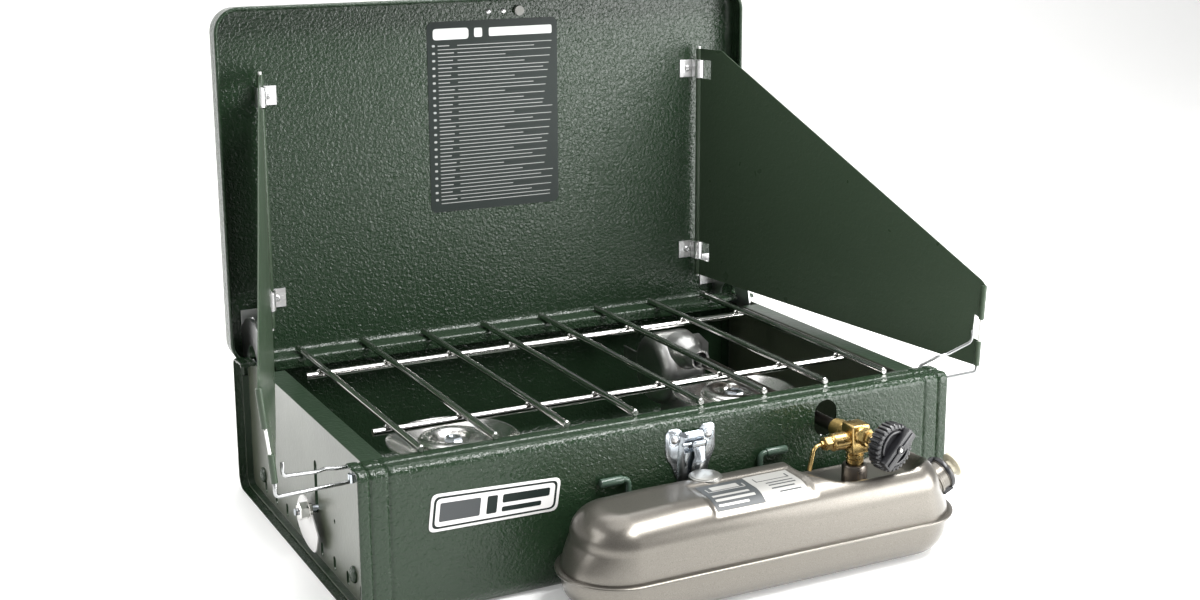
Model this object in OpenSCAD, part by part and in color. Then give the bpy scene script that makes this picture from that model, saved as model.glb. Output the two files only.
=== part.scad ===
// Two-burner liquid-fuel camp stove, open for use: steel case, lid with two wind wings,
// lift-up grate, two burners and a pressure tank hung on the front.
// Millimetres. Origin: centre of the case's bottom face. X right, Y to the rear, Z up.

/* [Case] */
// Width of the case
case_w = 460; // [440:5:480]
// Depth of the case
case_d = 291; // [285:1:300]
// Height of the case
case_h = 105; // [103:1:106]
// Thickness of the case and end panel steel
sheet = 1.2; // [1:0.1:1.4]
// How far the end panels sit in from the case's ends
end_recess = 11; // [10:0.5:12]
// Width of the front and rear top flanges
flange_w = 22; // [20:1:23]
// Number of vent holes in each end panel
vent_count = 9; // [6:1:9]

/* [Lid] */
// Height of the open lid's lower edge
lid_z0 = 96; // [96:0.5:98]
// Height of the open lid's upper edge
lid_z1 = 373; // [365:1:380]
// Depth of the lid pan
lid_depth = 22; // [20:1:24]
// Y of the open lid's rim
lid_rim_y = 147.6; // [147.5:0.1:148]

/* [Wings] */
// Length of each wing from its hinge to its front edge
wing_len = 310; // [300:1:312]
// Outward splay of the left wing
splay_left = 16.6; // [10:0.1:18]
// Outward splay of the right wing
splay_right = 12.9; // [8:0.1:15]
// Distance of the wing hinges from the middle
wing_x = 194; // [193:0.5:196]

/* [Grate] */
// Number of rods
rod_count = 8; // [6:1:8]
// Spacing of the rods
rod_pitch = 52.3; // [48:0.1:53]
// Radius of a rod
rod_r = 2.5; // [2:0.1:2.6]

/* [Burners] */
// Distance of each burner from the middle
burner_x = 118; // [112:1:122]
// Y of the burner centres
burner_y = -27; // [-32:1:-22]
// Radius of a burner bowl
bowl_r = 47; // [44:1:49]

/* [Tank] */
// X of the tank's left end
tank_x0 = -108; // [-115:1:-100]
// X of the tank's right end
tank_x1 = 188; // [184:1:192]
// Y of the tank's middle
tank_y = -190; // [-191:0.5:-190]
// Half of the tank's depth
tank_half = 37; // [35:0.5:37]
// Height of the tank's seam
seam_z = 30; // [28:1:32]
// Height of the tank's top
tank_top = 72; // [68:1:72]
// Wall of the tank
tank_wall = 1.5; // [1.2:0.1:2]

/* [Valve] */
// X of the valve and the generator
gen_x = 120; // [118:0.5:122]
// Y of the valve column
valve_y = -184; // [-186:1:-182]
// Height of the generator's axis
gen_z = 85; // [84:0.5:87]
// Radius of the control knob
knob_r = 17; // [15:0.1:17]

/* [Hidden] */
$fn = 48;

half_w = case_w / 2;
half_d = case_d / 2;
end_x = half_w - end_recess;
bottom_r = 11;
top_r = 5;
lip_h = 8;
end_flange = 16;
end_flange_y1 = 98;
bead = 0.5;

// Hinge of the lid
pivot_y = 141;
pivot_z = 100;
hinge_pin_r = 1.6;
strap_x = 214.7;
strap_t = 1.5;
strap_ro = 35;
strap_ri = 14;

lid_t = 1;
lid_corner_r = 19;
lid_back_y = lid_rim_y + lid_depth;
lid_face_y = lid_back_y - lid_t;

wing_y = 160;
wing_t = 0.9;
wing_top_z = 321;
wing_hinge_z = 121;
wing_front_z = 111;
wing_front_top_z = 166;
wing_top_flat = 28;
wing_pin_r = 1.5;
hem_r = 2;
hem_wire_r = 1;
notch_z = [127, 143];
clip_z = [142.5, 303.5];
clip_h = 15;
clip_r = 3.2;
clip_window = 20;

rod_z = 107.8;
rod_y0 = -127;
rod_y1 = 139;
grate_pivot_y = rod_y1 - rod_r - 0.1;
crossbar_r = 2.7;
crossbar_y = [-67.6, 78.9];
crossbar_z = rod_z - rod_r - crossbar_r + 0.1;
crossbar_x = [-192, 195];
rod_x0 = -180;

rim_z = 75;
cup_z = 47.2;
manifold_x = 120;
pan_y = 75;
pan_z = 68;
pan_r = 30;
duct_z = 35;
aux_stem_y = -22;
aux_stem_z = 38;
stem_r = 2.5;

slot_x = 121;
slot_r = 9.5;
slot_z = [83.5, 91.5];
flange_step = 4;
tank_corner = 34;
pocket_z = 53;
pocket_r = 24;
filler_x = 6;
filler_y = -172;
filler_floor = 60;
body_half = 7;
stem_z = 88;
stem_turn = 8;
lever_z = 84;
pump_x = 188;
pump_z = 46;
pump_lift = 25;
barrel_r = 11;
plunger_r = 2.5;

latch_x = 9.4;
latch_pin_y = -150.6;
latch_pin_z = 88;
hanger_z = 44;
hanger_y = -half_d - 4;
hanger_r = 2.4;

bail_x = 224.6;
bail_y = -119;
bail_r = 1.25;
bail_z = [88, 99];

green = "darkgreen";
steel = "gainsboro";
zinc = "lightsteelblue";
brass = "goldenrod";
silver = "tan";

// ---------- helpers ----------

function arc(cx, cy, r, a0, a1, n = 8) =
    [for (i = [0:n]) let (a = a0 + (a1 - a0) * i / n) [cx + r * cos(a), cy + r * sin(a)]];

// Outline of a rectangle with one radius at the bottom and one at the top
function box_outline(x0, y0, x1, y1, rb, rt) = concat(
    arc(x0 + rb, y0 + rb, rb, 180, 270),
    arc(x1 - rb, y0 + rb, rb, 270, 360),
    arc(x1 - rt, y1 - rt, rt, 0, 90),
    arc(x0 + rt, y1 - rt, rt, 90, 180));

// 2D x, y become Y, Z; the extrusion runs along +X from x
module along_x(x, len) {
    translate([x, 0, 0]) rotate([90, 0, 90]) linear_extrude(len) children();
}

// 2D x, y become X, Z; the extrusion runs from y to y + len
module along_y(y, len) {
    translate([0, y + len, 0]) rotate([90, 0, 0]) linear_extrude(len) children();
}

// Cylinders along X and Y
module rod_x(x, len, y, z, r) {
    translate([x, y, z]) rotate([0, 90, 0]) cylinder(h = len, r = r);
}
module rod_y(y, len, x, z, r) {
    translate([x, y, z]) rotate([-90, 0, 0]) cylinder(h = len, r = r);
}

// Turns +Z to the given direction
module toward(d) {
    rotate([0, acos(d[2] / norm(d)), atan2(d[1], d[0])]) children();
}

// Round bar through a list of points, with a boss at each square bend
module wire(points, r) {
    for (i = [0:len(points) - 2]) {
        a = points[i];
        d = points[i + 1] - a;
        translate(a) toward(d) cylinder(h = norm(d), r = r, $fn = 24);
        if (i > 0) translate(a) toward(cross(a - points[i - 1], d))
            cylinder(h = 2 * r + 0.3, r = r + 0.15, center = true, $fn = 24);
    }
}

// Mirrored copy on the left
module side(s) {
    if (s > 0) children();
    else mirror([1, 0, 0]) children();
}

module rivet_y(x, y, z, r = 2.6, h = 1.6) {
    rod_y(y - h, h, x, z, r);
}

module slot_y(x, z0, z1, r, y, len) {
    for (z = [z0, z1]) rod_y(y, len, x, z, r);
    translate([x - r, y, z0]) cube([2 * r, len, z1 - z0]);
}

module slot_x(y, z0, z1, r, x, len) {
    for (z = [z0, z1]) rod_x(x, len, y, z, r);
    translate([x, y - r, z0]) cube([len, 2 * r, z1 - z0]);
}

// ---------- case ----------

module case_outline(off) {
    polygon(box_outline(-half_d + off, off, half_d - off, case_h - off,
                        bottom_r - off, top_r - off));
}

module case_shell() {
    color(green) difference() {
        union() {
            along_x(-half_w, case_w) difference() {
                case_outline(0);
                case_outline(sheet);
                translate([-half_d + flange_w, case_h - 30])
                    square([case_d - 2 * flange_w, 40]);
            }
            along_x(-end_x + end_flange, 2 * (end_x - end_flange))
                for (y = [-half_d + flange_w - sheet, half_d - flange_w])
                    translate([y, case_h - lip_h]) square([sheet, lip_h]);
        }
        slot_y(slot_x, slot_z[0], slot_z[1], slot_r, -half_d - 5, 15);
        for (s = [-1, 1])
            side(s) translate([213, half_d - flange_w - 15, case_h - 15])
                cube([5, flange_w + 15 - sheet - 0.1, 20]);
    }
}

module end_panel() {
    difference() {
        union() {
            along_x(end_x - sheet, sheet) case_outline(sheet);
            translate([end_x - end_flange, -half_d + top_r, case_h - 2 * sheet])
                cube([end_flange, end_flange_y1 + half_d - top_r, sheet]);
            along_x(end_x, 5) difference() {
                case_outline(sheet);
                case_outline(2 * sheet);
                translate([-half_d, case_h - 15]) square([case_d, 20]);
            }
        }
        for (i = [0:vent_count - 1])
            slot_x(108 - 27.6 * i, 8, 13, 2.6, end_x - 5, 10);
        rod_x(end_x - 5, 10, -61, 42, 1.6);
    }
}

module end_panel_left() {
    color(green) side(-1) difference() {
        end_panel();
        slot_x(aux_stem_y, aux_stem_z, 70, 3.2, end_x - 5, 10);
    }
}

module end_panel_right() {
    color(green) end_panel();
}

module case_rivets() {
    color(green) for (s = [-1, 1])
        side(s) for (y = [-99, 112]) rod_x(end_x, 1.5, y, 21, 4);
    color(zinc) for (x = [-14.2, 14.2])
        rivet_y(latch_x + x, -half_d - sheet, 91, 2.8, 1.6);
}

module hanger_wire(s) {
    x0 = latch_x + 2.1;
    y = hanger_y;
    wire([[x0 + s * 30, -half_d, hanger_z], [x0 + s * 30, y, hanger_z],
          [x0 + s * 52.5, y, hanger_z], [x0 + s * 52.5, y, 71],
          [x0 + s * 57, y, 71]], hanger_r);
    rod_x(s > 0 ? x0 + 57 : x0 - 74, 17, y, 71, hanger_r + 0.4);
}

module hanger_wire_left() { color(green) hanger_wire(-1); }
module hanger_wire_right() { color(green) hanger_wire(1); }

module latch_base() {
    color(zinc) difference() {
        union() {
            along_y(-half_d - sheet, sheet) translate([latch_x, 0])
                polygon([[-19.8, 98.5], [-19.8, 82], [-16, 74], [-9.5, 57.5], [10, 57.5],
                         [14, 70], [19.4, 81], [19.4, 98.5]]);
            for (s = [-1, 1])
                translate([latch_x + s * 9.2 - 0.6, -half_d - 7.5, 74]) cube([1.2, 6.5, 17]);
        }
        rod_x(latch_x - 12, 24, latch_pin_y, latch_pin_z, 1.26);
    }
}

module latch_lever() {
    color(zinc) {
        difference() {
            union() {
                translate([latch_x - 7.5, latch_pin_y - 2.6, 73]) cube([15, 1.2, 16.5]);
                for (s = [-1, 1])
                    translate([latch_x + s * 6.9 - 0.6, latch_pin_y - 2.5, 80])
                        cube([1.2, 4.6, 10.2]);
                translate([latch_x - 5, latch_pin_y - 4.4, 73]) cube([10, 1.2, 8]);
                translate([latch_x - 5, latch_pin_y - 4.4, 73]) cube([10, 3, 1.2]);
            }
            rod_x(latch_x - 12, 24, latch_pin_y, latch_pin_z, 1.2);
        }
        rod_x(latch_x - 10.4, 20.8, latch_pin_y, latch_pin_z, 1.2);
    }
}

module front_label() {
    color("white") along_y(-half_d - 0.4, 0.4)
        polygon([[-184, 59.5], [-179, 82.5], [-89, 80.5], [-95, 58.5]]);
}

// ---------- lid ----------

module lid_outline(off) {
    polygon(box_outline(-half_w + off, lid_z0 + off, half_w - off, lid_z1 - off,
                        lid_corner_r - off, lid_corner_r - off));
}

module lid_pan() {
    color(green) {
        along_y(lid_rim_y, lid_depth - lid_t) difference() {
            lid_outline(0);
            lid_outline(lid_t);
        }
        along_y(lid_face_y, lid_t) lid_outline(0);
        along_y(lid_rim_y, 2) difference() {
            lid_outline(0);
            lid_outline(2);
        }
    }
}

module hinge_strap() {
    difference() {
        union() {
            along_x(strap_x, strap_t) difference() {
                union() {
                    intersection() {
                        difference() {
                            translate([pivot_y, pivot_z]) circle(r = strap_ro, $fn = 96);
                            translate([pivot_y, pivot_z]) circle(r = strap_ri, $fn = 96);
                        }
                        translate([pivot_y - 50, pivot_z - 4])
                            square([lid_face_y - pivot_y + 50, 60]);
                    }
                    translate([pivot_y - strap_ri - 1, pivot_z - 2.2])
                        square([strap_ri + 1, 4.4]);
                    translate([pivot_y, pivot_z]) circle(r = 3);
                }
                translate([pivot_y, pivot_z]) circle(r = hinge_pin_r + 0.05);
            }
            translate([201, lid_face_y - 1.2, 108]) cube([strap_x - 201 + strap_t, 1.2, 28]);
        }
        translate([210, pivot_y + 5, 60]) cube([10, 40, 39]);
    }
}

module hinge_strap_left() { color(steel) side(-1) hinge_strap(); }
module hinge_strap_right() { color(steel) hinge_strap(); }

module hinge_brackets() {
    color(zinc) for (s = [-1, 1]) side(s) {
        along_x(211, 1.2)
            polygon([[pivot_y - 4, 92], [half_d - sheet, 92], [half_d - sheet, 99.9],
                     [half_d - 3.2, 103], [pivot_y - 4, 103]]);
        translate([206, half_d - 2 * sheet, 92]) cube([5, sheet, 7.5]);
        rod_x(212.2, end_x - sheet - 212.2, pivot_y, pivot_z, hinge_pin_r);
    }
}

module lid_rivets() {
    color(brass) {
        for (s = [-1, 1]) {
            rivet_y(s * 208, lid_face_y - 1.2, 127);
            for (z = clip_z) rivet_y(s * 187, lid_face_y - 1, z);
        }
        for (x = [0, 13.3]) rivet_y(x, lid_face_y, 360);
    }
}

module wing_clips() {
    color("silver") for (s = [-1, 1], z = clip_z) side(s) {
        translate([wing_x - 15, lid_face_y - 1, z - clip_h / 2]) cube([16, 1, clip_h]);
        translate([wing_x - 1, wing_y + 2, z - clip_h / 2])
            cube([2, lid_face_y - wing_y - 2.5, clip_h]);
        difference() {
            translate([wing_x, wing_y, z - clip_h / 2]) cylinder(h = clip_h, r = clip_r);
            translate([wing_x, wing_y, z - clip_h]) cylinder(h = 2 * clip_h, r = wing_pin_r + 0.06);
        }
    }
}

module lid_strike() {
    color(zinc) {
        translate([latch_x - 15, lid_rim_y + 3, lid_z1]) cube([30, 15, 1.2]);
        translate([latch_x - 9, lid_rim_y + 3, lid_z1 + 1.2]) cube([18, 1.2, 4]);
    }
}

module lid_bumper() { color("gray") rivet_y(26.7, lid_face_y, 360, 4, 3); }

module lid_label() {
    color("darkslategray") along_y(lid_face_y - 0.3, 0.3)
        polygon(box_outline(-56, 199, 61, 354, 5, 5));
}

// ---------- wings and bails ----------

// Places a part drawn in the wing's own frame: X along the wing, Z up, hinge at the origin
module at_wing(s) {
    angle = s > 0 ? splay_right - 90 : -90 - splay_left;
    translate([s * wing_x, wing_y, 0]) rotate([0, 0, angle]) children();
}

module wing(s) {
    at_wing(s) difference() {
        union() {
            translate([0, wing_t / 2, 0]) rotate([90, 0, 0]) linear_extrude(wing_t)
                polygon([[2, wing_hinge_z], [2, wing_top_z], [wing_top_flat, wing_top_z],
                         [wing_len - 0.6, wing_front_top_z], [wing_len - 0.6, wing_front_z + 3],
                         [wing_len - 5, wing_front_z]]);
            translate([0, 0, wing_hinge_z])
                cylinder(h = wing_top_z - wing_hinge_z, r = 2.6);
            translate([wing_len - hem_r, 0, wing_front_z + 4])
                cylinder(h = wing_front_top_z - wing_front_z - 5, r = hem_r);
        }
        translate([0, 0, 50]) cylinder(h = 350, r = wing_pin_r);
        translate([wing_len - hem_r, 0, wing_front_z + 3.5])
            cylinder(h = wing_front_top_z - wing_front_z - 4, r = hem_wire_r);
        for (z = clip_z) translate([-5, -5, z - clip_h / 2 - 0.6]) cube([clip_window, 10, clip_h + 1.2]);
        translate([wing_len - 6, -5, notch_z[0]]) cube([10, 10, notch_z[1] - notch_z[0]]);
    }
}

module wing_left() { color(green) wing(-1); }
module wing_right() { color(green) wing(1); }

module wing_wires(s) {
    color(steel) at_wing(s) {
        translate([0, 0, wing_hinge_z - 2])
            cylinder(h = wing_top_z - wing_hinge_z + 4, r = wing_pin_r);
        translate([wing_len - hem_r, 0, wing_front_z + 4])
            cylinder(h = wing_front_top_z - wing_front_z - 6, r = hem_wire_r);
    }
}

module wing_left_wires() { wing_wires(-1); }
module wing_right_wires() { wing_wires(1); }

// A bail reaches from its pivot in the case's front corner to the wing's front edge
function wing_point(s, r) = let (a = s > 0 ? splay_right - 90 : -90 - splay_left)
    [s * wing_x + r * cos(a), wing_y + r * sin(a)];

module bail(s) {
    tip = wing_point(s, wing_len + 3.2) - [s * bail_x, bail_y];
    reach = norm(tip);
    color("whitesmoke") translate([s * bail_x, bail_y, 0]) rotate([0, 0, atan2(tip[1], tip[0])])
        wire([[reach, 0, 120], [reach, 0, bail_z[1]], [0, 0, bail_z[1]], [0, 0, bail_z[0]],
              [reach - 6, 0, bail_z[0]], [reach - 6, 0, 109]], bail_r);
}

module bail_left() { bail(-1); }
module bail_right() { bail(1); }

module bail_brackets() {
    color(zinc) for (s = [-1, 1]) side(s) difference() {
        union() {
            translate([bail_x, bail_y, bail_z[0] + 2.5])
                cylinder(h = bail_z[1] - bail_z[0] - 5, r = 2.6);
            translate([end_x, bail_y - 1.2, bail_z[0] + 2.5])
                cube([bail_x - end_x - 1.5, 2.4, bail_z[1] - bail_z[0] - 5]);
        }
        translate([bail_x, bail_y, 80]) cylinder(h = 30, r = bail_r + 0.06);
    }
}

// ---------- grate ----------

module grate_rods() {
    color("silver") for (i = [0:rod_count - 1]) {
        rod_y(rod_y0, grate_pivot_y - rod_y0, rod_x0 + i * rod_pitch, rod_z, rod_r);
        rod_x(rod_x0 + i * rod_pitch - 3.5, 7, grate_pivot_y, rod_z, rod_r + 0.1);
    }
}

module grate_crossbars() {
    color("silver") for (y = crossbar_y)
        rod_x(crossbar_x[0], crossbar_x[1] - crossbar_x[0], y, crossbar_z - 0.1, crossbar_r);
}

// ---------- burners ----------

module bowl() {
    difference() {
        rotate_extrude($fn = 96) polygon([[25.5, 64.2], [30, 64.2], [bowl_r - 1, 74.2],
            [bowl_r + 1, 74.2], [bowl_r + 1, rim_z], [bowl_r - 1.4, rim_z], [30, 65], [25.5, 65]]);
        for (a = [200, 320]) rotate([0, 0, a]) translate([39, 0, 60]) cylinder(h = 20, r = 1.8);
    }
}

module aux_burner_bowl() { color(steel) translate([-burner_x, burner_y, 0]) bowl(); }
module main_burner_bowl() { color(steel) translate([burner_x, burner_y, 0]) bowl(); }

module rings() {
    difference() {
        translate([0, 0, cup_z]) cylinder(h = 12, r = 22);
        translate([0, 0, cup_z + 1.2]) cylinder(h = 20, r = 20.8);
        translate([0, 0, cup_z - 1]) cylinder(h = 20, r = 6);
    }
    for (i = [0:4]) translate([0, 0, 59.4 + i * 2.8]) difference() {
        cylinder(h = 1.4, r = 25);
        translate([0, 0, -1]) cylinder(h = 4, r = 14);
    }
    difference() {
        translate([0, 0, 59.2]) cylinder(h = 13, r = 23.4, $fn = 64);
        translate([0, 0, 60.2]) cylinder(h = 13, r = 21);
    }
}

module aux_burner_rings() { color(steel) translate([-burner_x, burner_y, 0]) rings(); }
module main_burner_rings() { color(steel) translate([burner_x, burner_y, 0]) rings(); }

module cap() {
    rotate_extrude($fn = 96) polygon([[4, 70.6], [12, 70.6], [13.5, 72.2], [26, 72.2],
        [26.4, 74], [25, 76], [22, 77], [17, 77], [14.5, 75.6], [12, 72], [4, 72]]);
}

module aux_burner_cap() { color(steel) translate([-burner_x, burner_y, 0]) cap(); }
module main_burner_cap() { color(steel) translate([burner_x, burner_y, 0]) cap(); }

module burner_screws() {
    color(zinc) for (s = [-1, 1]) translate([s * burner_x, burner_y, 0]) {
        translate([0, 0, 72]) cylinder(h = 4, r = 7, $fn = 6);
        translate([0, 0, 60.2]) cylinder(h = 11.8, r = 3.9);
    }
}

// Stamped mixing chamber: bell mouth and round pan behind the main burner, duct beneath it
module manifold() {
    color("darkgray") difference() {
        union() {
            translate([manifold_x, 0, gen_z]) rotate([-90, 0, 0]) rotate_extrude()
                polygon([[0, 28], [8, 28], [8, 38], [15, 50], [17, 62], [0, 62]]);
            translate([0, pan_y, pan_z]) rotate([0, 90, 0]) rotate_extrude($fn = 72)
                polygon(concat([[0, 98]], arc(pan_r - 10, 108, 10, 270, 360, 6),
                               arc(pan_r - 4, 132, 4, 0, 90, 4), [[0, 136]]));
            rod_y(burner_y - 16, pan_y - burner_y + 16, manifold_x, duct_z, 10.8);
            along_y(58, 1.4) translate([manifold_x, 0])
                polygon([[-17, 66], [-17, 90], [-9, 98], [16, 98], [25, 89], [25, 66]]);
            translate([100, pan_y + 20, 62]) cube([1.4, 28, 14]);
            translate([burner_x, burner_y, duct_z]) cylinder(h = cup_z - duct_z, r = 7.4);
        }
        translate([manifold_x, 0, gen_z]) rotate([-90, 0, 0]) rotate_extrude()
            polygon([[0, 20], [6.6, 20], [6.6, 38.2], [13.6, 50.2], [15.6, 63], [0, 63]]);
        translate([0, pan_y, pan_z]) rotate([0, 90, 0]) rotate_extrude($fn = 72)
            polygon(concat([[0, 99.4]], arc(pan_r - 10, 108, 8.6, 270, 360, 6),
                           arc(pan_r - 4, 132, 2.6, 0, 90, 4), [[0, 134.6]]));
        rod_y(burner_y - 14.6, pan_y - burner_y + 10, manifold_x, duct_z, 9.4);
        translate([burner_x, burner_y, duct_z]) cylinder(h = 20, r = 5.9);
    }
}

module aux_gas_tube() {
    color(steel) rod_x(-burner_x + 22, 2 * burner_x - 44, burner_y, 53, 5);
}

module aux_valve_body() {
    color(brass) difference() {
        translate([-150, aux_stem_y - 7, aux_stem_z - 6]) cube([30, 14, 14]);
        rod_x(-160, 30, aux_stem_y, aux_stem_z, stem_r + 0.05);
    }
}

module burner_supports() {
    color(zinc) for (s = [-1, 1]) translate([s * burner_x, burner_y, 0]) {
        difference() {
            translate([-24, -24, cup_z - sheet]) cube([48, 48, sheet]);
            translate([0, 0, 40]) cylinder(h = 20, r = 8);
        }
        for (x = [-20, 20], y = [-20, 20])
            translate([x, y, sheet]) cylinder(h = cup_z - 2 * sheet, r = 2.5);
    }
}

// ---------- tank ----------

module tank_plan(inset, h) {
    r = tank_corner - inset;
    for (x = [tank_x0 + tank_corner, tank_x1 - tank_corner])
        for (y = [tank_y - tank_half + tank_corner, tank_y + tank_half - tank_corner])
            translate([x, y, 0]) cylinder(h = h, r = r, $fn = 32);
}

module upper_solid(inset) {
    hull() {
        translate([0, 0, seam_z]) tank_plan(inset, 1);
        for (x = [tank_x0 + 28, tank_x1 - 33], y = [tank_y - 14, tank_y + 14])
            translate([x, y, tank_top - 22]) sphere(r = 22 - inset, $fn = 32);
    }
}

module pockets(grow) {
    for (x = [98, 140])
        translate([x, tank_y + 2, pocket_z - grow]) cylinder(h = 60, r = pocket_r + grow);
    translate([98, tank_y + 2 - pocket_r - grow, pocket_z - grow])
        cube([42, 2 * (pocket_r + grow), 60]);
    translate([filler_x, filler_y, filler_floor - grow]) cylinder(h = 60, r = 16 + grow);
}

module seam_flange() {
    linear_extrude(1.2) difference() {
        polygon(box_outline(tank_x0 - flange_step, tank_y - tank_half - flange_step,
                            tank_x1 + flange_step, tank_y + tank_half + flange_step, 38, 38));
        polygon(box_outline(tank_x0 + 1, tank_y - tank_half + 1, tank_x1 - 1,
                            tank_y + tank_half - 1, 33, 33));
    }
}

module at_pump() {
    translate([pump_x, tank_y, pump_z]) rotate([0, 90 - pump_lift, 0]) children();
}

module tank_upper() {
    color(silver) {
        difference() {
            upper_solid(0);
            difference() {
                translate([0, 0, -0.01]) upper_solid(tank_wall);
                pockets(tank_wall);
            }
            translate([-300, -300, seam_z - 20]) cube([600, 600, 20]);
            pockets(0);
            at_pump() translate([0, 0, -60]) cylinder(h = 100, r = barrel_r + 0.1);
            translate([gen_x, valve_y, 40]) cylinder(h = 30, r = 5.3);
            translate([filler_x, filler_y, 40]) cylinder(h = 30, r = 7);
        }
        translate([0, 0, seam_z]) seam_flange();
    }
}

module lower_solid(inset) {
    hull() {
        translate([0, 0, seam_z - 12]) tank_plan(inset, 12);
        translate([0, 0, 2 + inset])
            for (x = [tank_x0 + 42, tank_x1 - 42], y = [tank_y - 15, tank_y + 15])
                translate([x, y, 0]) cylinder(h = 1, r = 14 - inset, $fn = 32);
        translate([0, 0, 6 + inset])
            for (x = [tank_x0 + 40, tank_x1 - 40], y = [tank_y - 9, tank_y + 9])
                translate([x, y, 0]) cylinder(h = 1, r = 25 - inset, $fn = 32);
    }
}

module tank_lower() {
    color(silver) {
        difference() {
            lower_solid(0);
            translate([0, 0, 0.01]) lower_solid(tank_wall);
        }
        translate([0, 0, seam_z - 1.2]) seam_flange();
    }
}

module tank_hangers() {
    x0 = latch_x + 2.1;
    back = tank_y + tank_half;
    color(silver) for (s = [-1, 1]) translate([x0 + s * 41, 0, 0]) difference() {
        translate([-6, back - 3, hanger_z - 4]) cube([12, -half_d - 1.7 - back + 3, 8]);
        translate([-7, hanger_y - hanger_r - 0.3, hanger_z - hanger_r - 0.3])
            cube([14, 20, 2 * hanger_r + 0.6]);
        translate([-7, back - 10, hanger_z - 10]) cube([14, 10, 20]);
    }
}

module filler_neck() {
    color(silver) translate([filler_x, filler_y, filler_floor]) difference() {
        cylinder(h = 7, r = 9);
        translate([0, 0, -1]) cylinder(h = 10, r = 7);
    }
}

module filler_cap() {
    color("silver") translate([filler_x, filler_y, 0]) difference() {
        cylinder(h = 73, r = 11.5);
        translate([0, 0, -1]) cylinder(h = filler_floor + 2, r = 20);
        translate([0, 0, -1]) cylinder(h = filler_floor + 8.3, r = 9.3);
    }
}

module at_valve() {
    translate([gen_x, valve_y, 0]) children();
}

module valve_collar() {
    color("dimgray") at_valve() difference() {
        translate([0, 0, pocket_z]) cylinder(h = 13, r = 9);
        translate([0, 0, pocket_z - 1]) cylinder(h = 20, r = 5.3);
    }
}

module at_stem() {
    translate([gen_x, valve_y - body_half, stem_z]) rotate([90, 0, stem_turn]) children();
}

module valve_body() {
    color(brass) difference() {
        union() {
            at_valve() translate([0, 0, pocket_z - 4]) cylinder(h = 28, r = 5.2);
            at_valve() translate([-body_half, -body_half, 75]) cube([14, 14, 20]);
            rod_x(gen_x - 21, 21, valve_y, lever_z, 5.2);
            at_stem() translate([0, 0, -2]) cylinder(h = 4, r = 6);
        }
        at_stem() translate([0, 0, -8]) cylinder(h = 20, r = 2.06);
        rod_x(gen_x - 30, 12, valve_y, lever_z, 1.36);
    }
}

module packing_nut() {
    color(brass) at_stem() difference() {
        translate([0, 0, 2]) cylinder(h = 8, r = 6.6, $fn = 6);
        cylinder(h = 20, r = 2.06);
    }
}

module generator_nut() {
    color(brass) difference() {
        rod_y(valve_y + body_half, 17, gen_x, gen_z, 7);
        rod_y(valve_y + body_half + 9, 20, gen_x, gen_z, 4.6);
    }
}

module generator_tube() {
    color("slategray") {
        rod_y(valve_y + body_half + 9, 187, gen_x, gen_z, 4.6);
        rod_y(valve_y + body_half + 196, 8, gen_x, gen_z, 2);
    }
}

module fuel_tube() {
    color(brass) at_valve() translate([0, 0, 6]) cylinder(h = pocket_z - 10, r = 3);
}

module lever_gland() {
    color(brass) difference() {
        translate([gen_x - 28, valve_y, lever_z]) rotate([0, 90, 0]) cylinder(h = 7, r = 5.2, $fn = 6);
        rod_x(gen_x - 40, 30, valve_y, lever_z, 1.36);
    }
}

module lighting_lever() {
    color(brass) wire([[gen_x - 23, valve_y, lever_z], [gen_x - 36, valve_y, lever_z],
                       [gen_x - 36, valve_y, lever_z - 16]], 1.3);
}

module valve_stem() {
    color(steel) at_stem() translate([0, 0, -7]) cylinder(h = 45, r = 2);
}

module valve_knob() {
    color("black") at_stem() difference() {
        union() {
            translate([0, 0, 23]) cylinder(h = 10, r = knob_r - 1.2);
            for (i = [0:23]) rotate([0, 0, 15 * i]) translate([knob_r - 2, -1, 23]) cube([2, 2, 10]);
            translate([-knob_r + 1.5, -4.5, 33]) cube([2 * knob_r - 3, 9, 5]);
        }
        cylinder(h = 50, r = 2);
    }
}

module pump_barrel() {
    color(silver) at_pump() difference() {
        union() {
            translate([0, 0, -62]) cylinder(h = 68, r = barrel_r);
            translate([0, 0, 5]) cylinder(h = 3, r = barrel_r);
        }
        translate([0, 0, -60]) cylinder(h = 65, r = 9);
        cylinder(h = 20, r = plunger_r + 0.06);
    }
}

module pump_clip() {
    color("black") at_pump() {
        difference() {
            translate([0, 0, 4.2]) cylinder(h = 2.6, r = barrel_r + 1.8);
            translate([0, 0, 3]) cylinder(h = 10, r = barrel_r);
        }
        for (a = [60, 240]) rotate([0, 0, a]) translate([barrel_r, -2.5, 0]) cube([2.4, 5, 5]);
    }
}

module pump_rod() {
    color(steel) at_pump() {
        translate([0, 0, -55]) cylinder(h = 72, r = plunger_r);
        translate([0, 0, -59.5]) cylinder(h = 6, r = 8.92);
    }
}

module pump_knob() {
    color("ivory") at_pump() difference() {
        union() {
            translate([0, 0, 11]) cylinder(h = 4, r = 5);
            translate([0, 0, 14]) cylinder(h = 5, r = 9);
        }
        cylinder(h = 17.1, r = plunger_r + 0.06);
    }
}

// ---------- auxiliary burner control ----------

module aux_stem() {
    color(zinc) rod_x(-end_x - 16, end_x + 16 - 135, aux_stem_y, aux_stem_z, stem_r);
}

module aux_knob() {
    color(steel) difference() {
        union() {
            along_x(-end_x - 7.2, 1.2) translate([aux_stem_y, aux_stem_z]) rotate(30)
                polygon(arc(0, 4, 24, 180, 360, 24));
            translate([-end_x - 14, aux_stem_y, aux_stem_z]) rotate([0, 90, 0])
                cylinder(h = 8, r = 6, $fn = 6);
            rod_x(-end_x - 6, 4, aux_stem_y, aux_stem_z, 5);
        }
        rod_x(-end_x - 30, 40, aux_stem_y, aux_stem_z, stem_r);
    }
}

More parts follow.
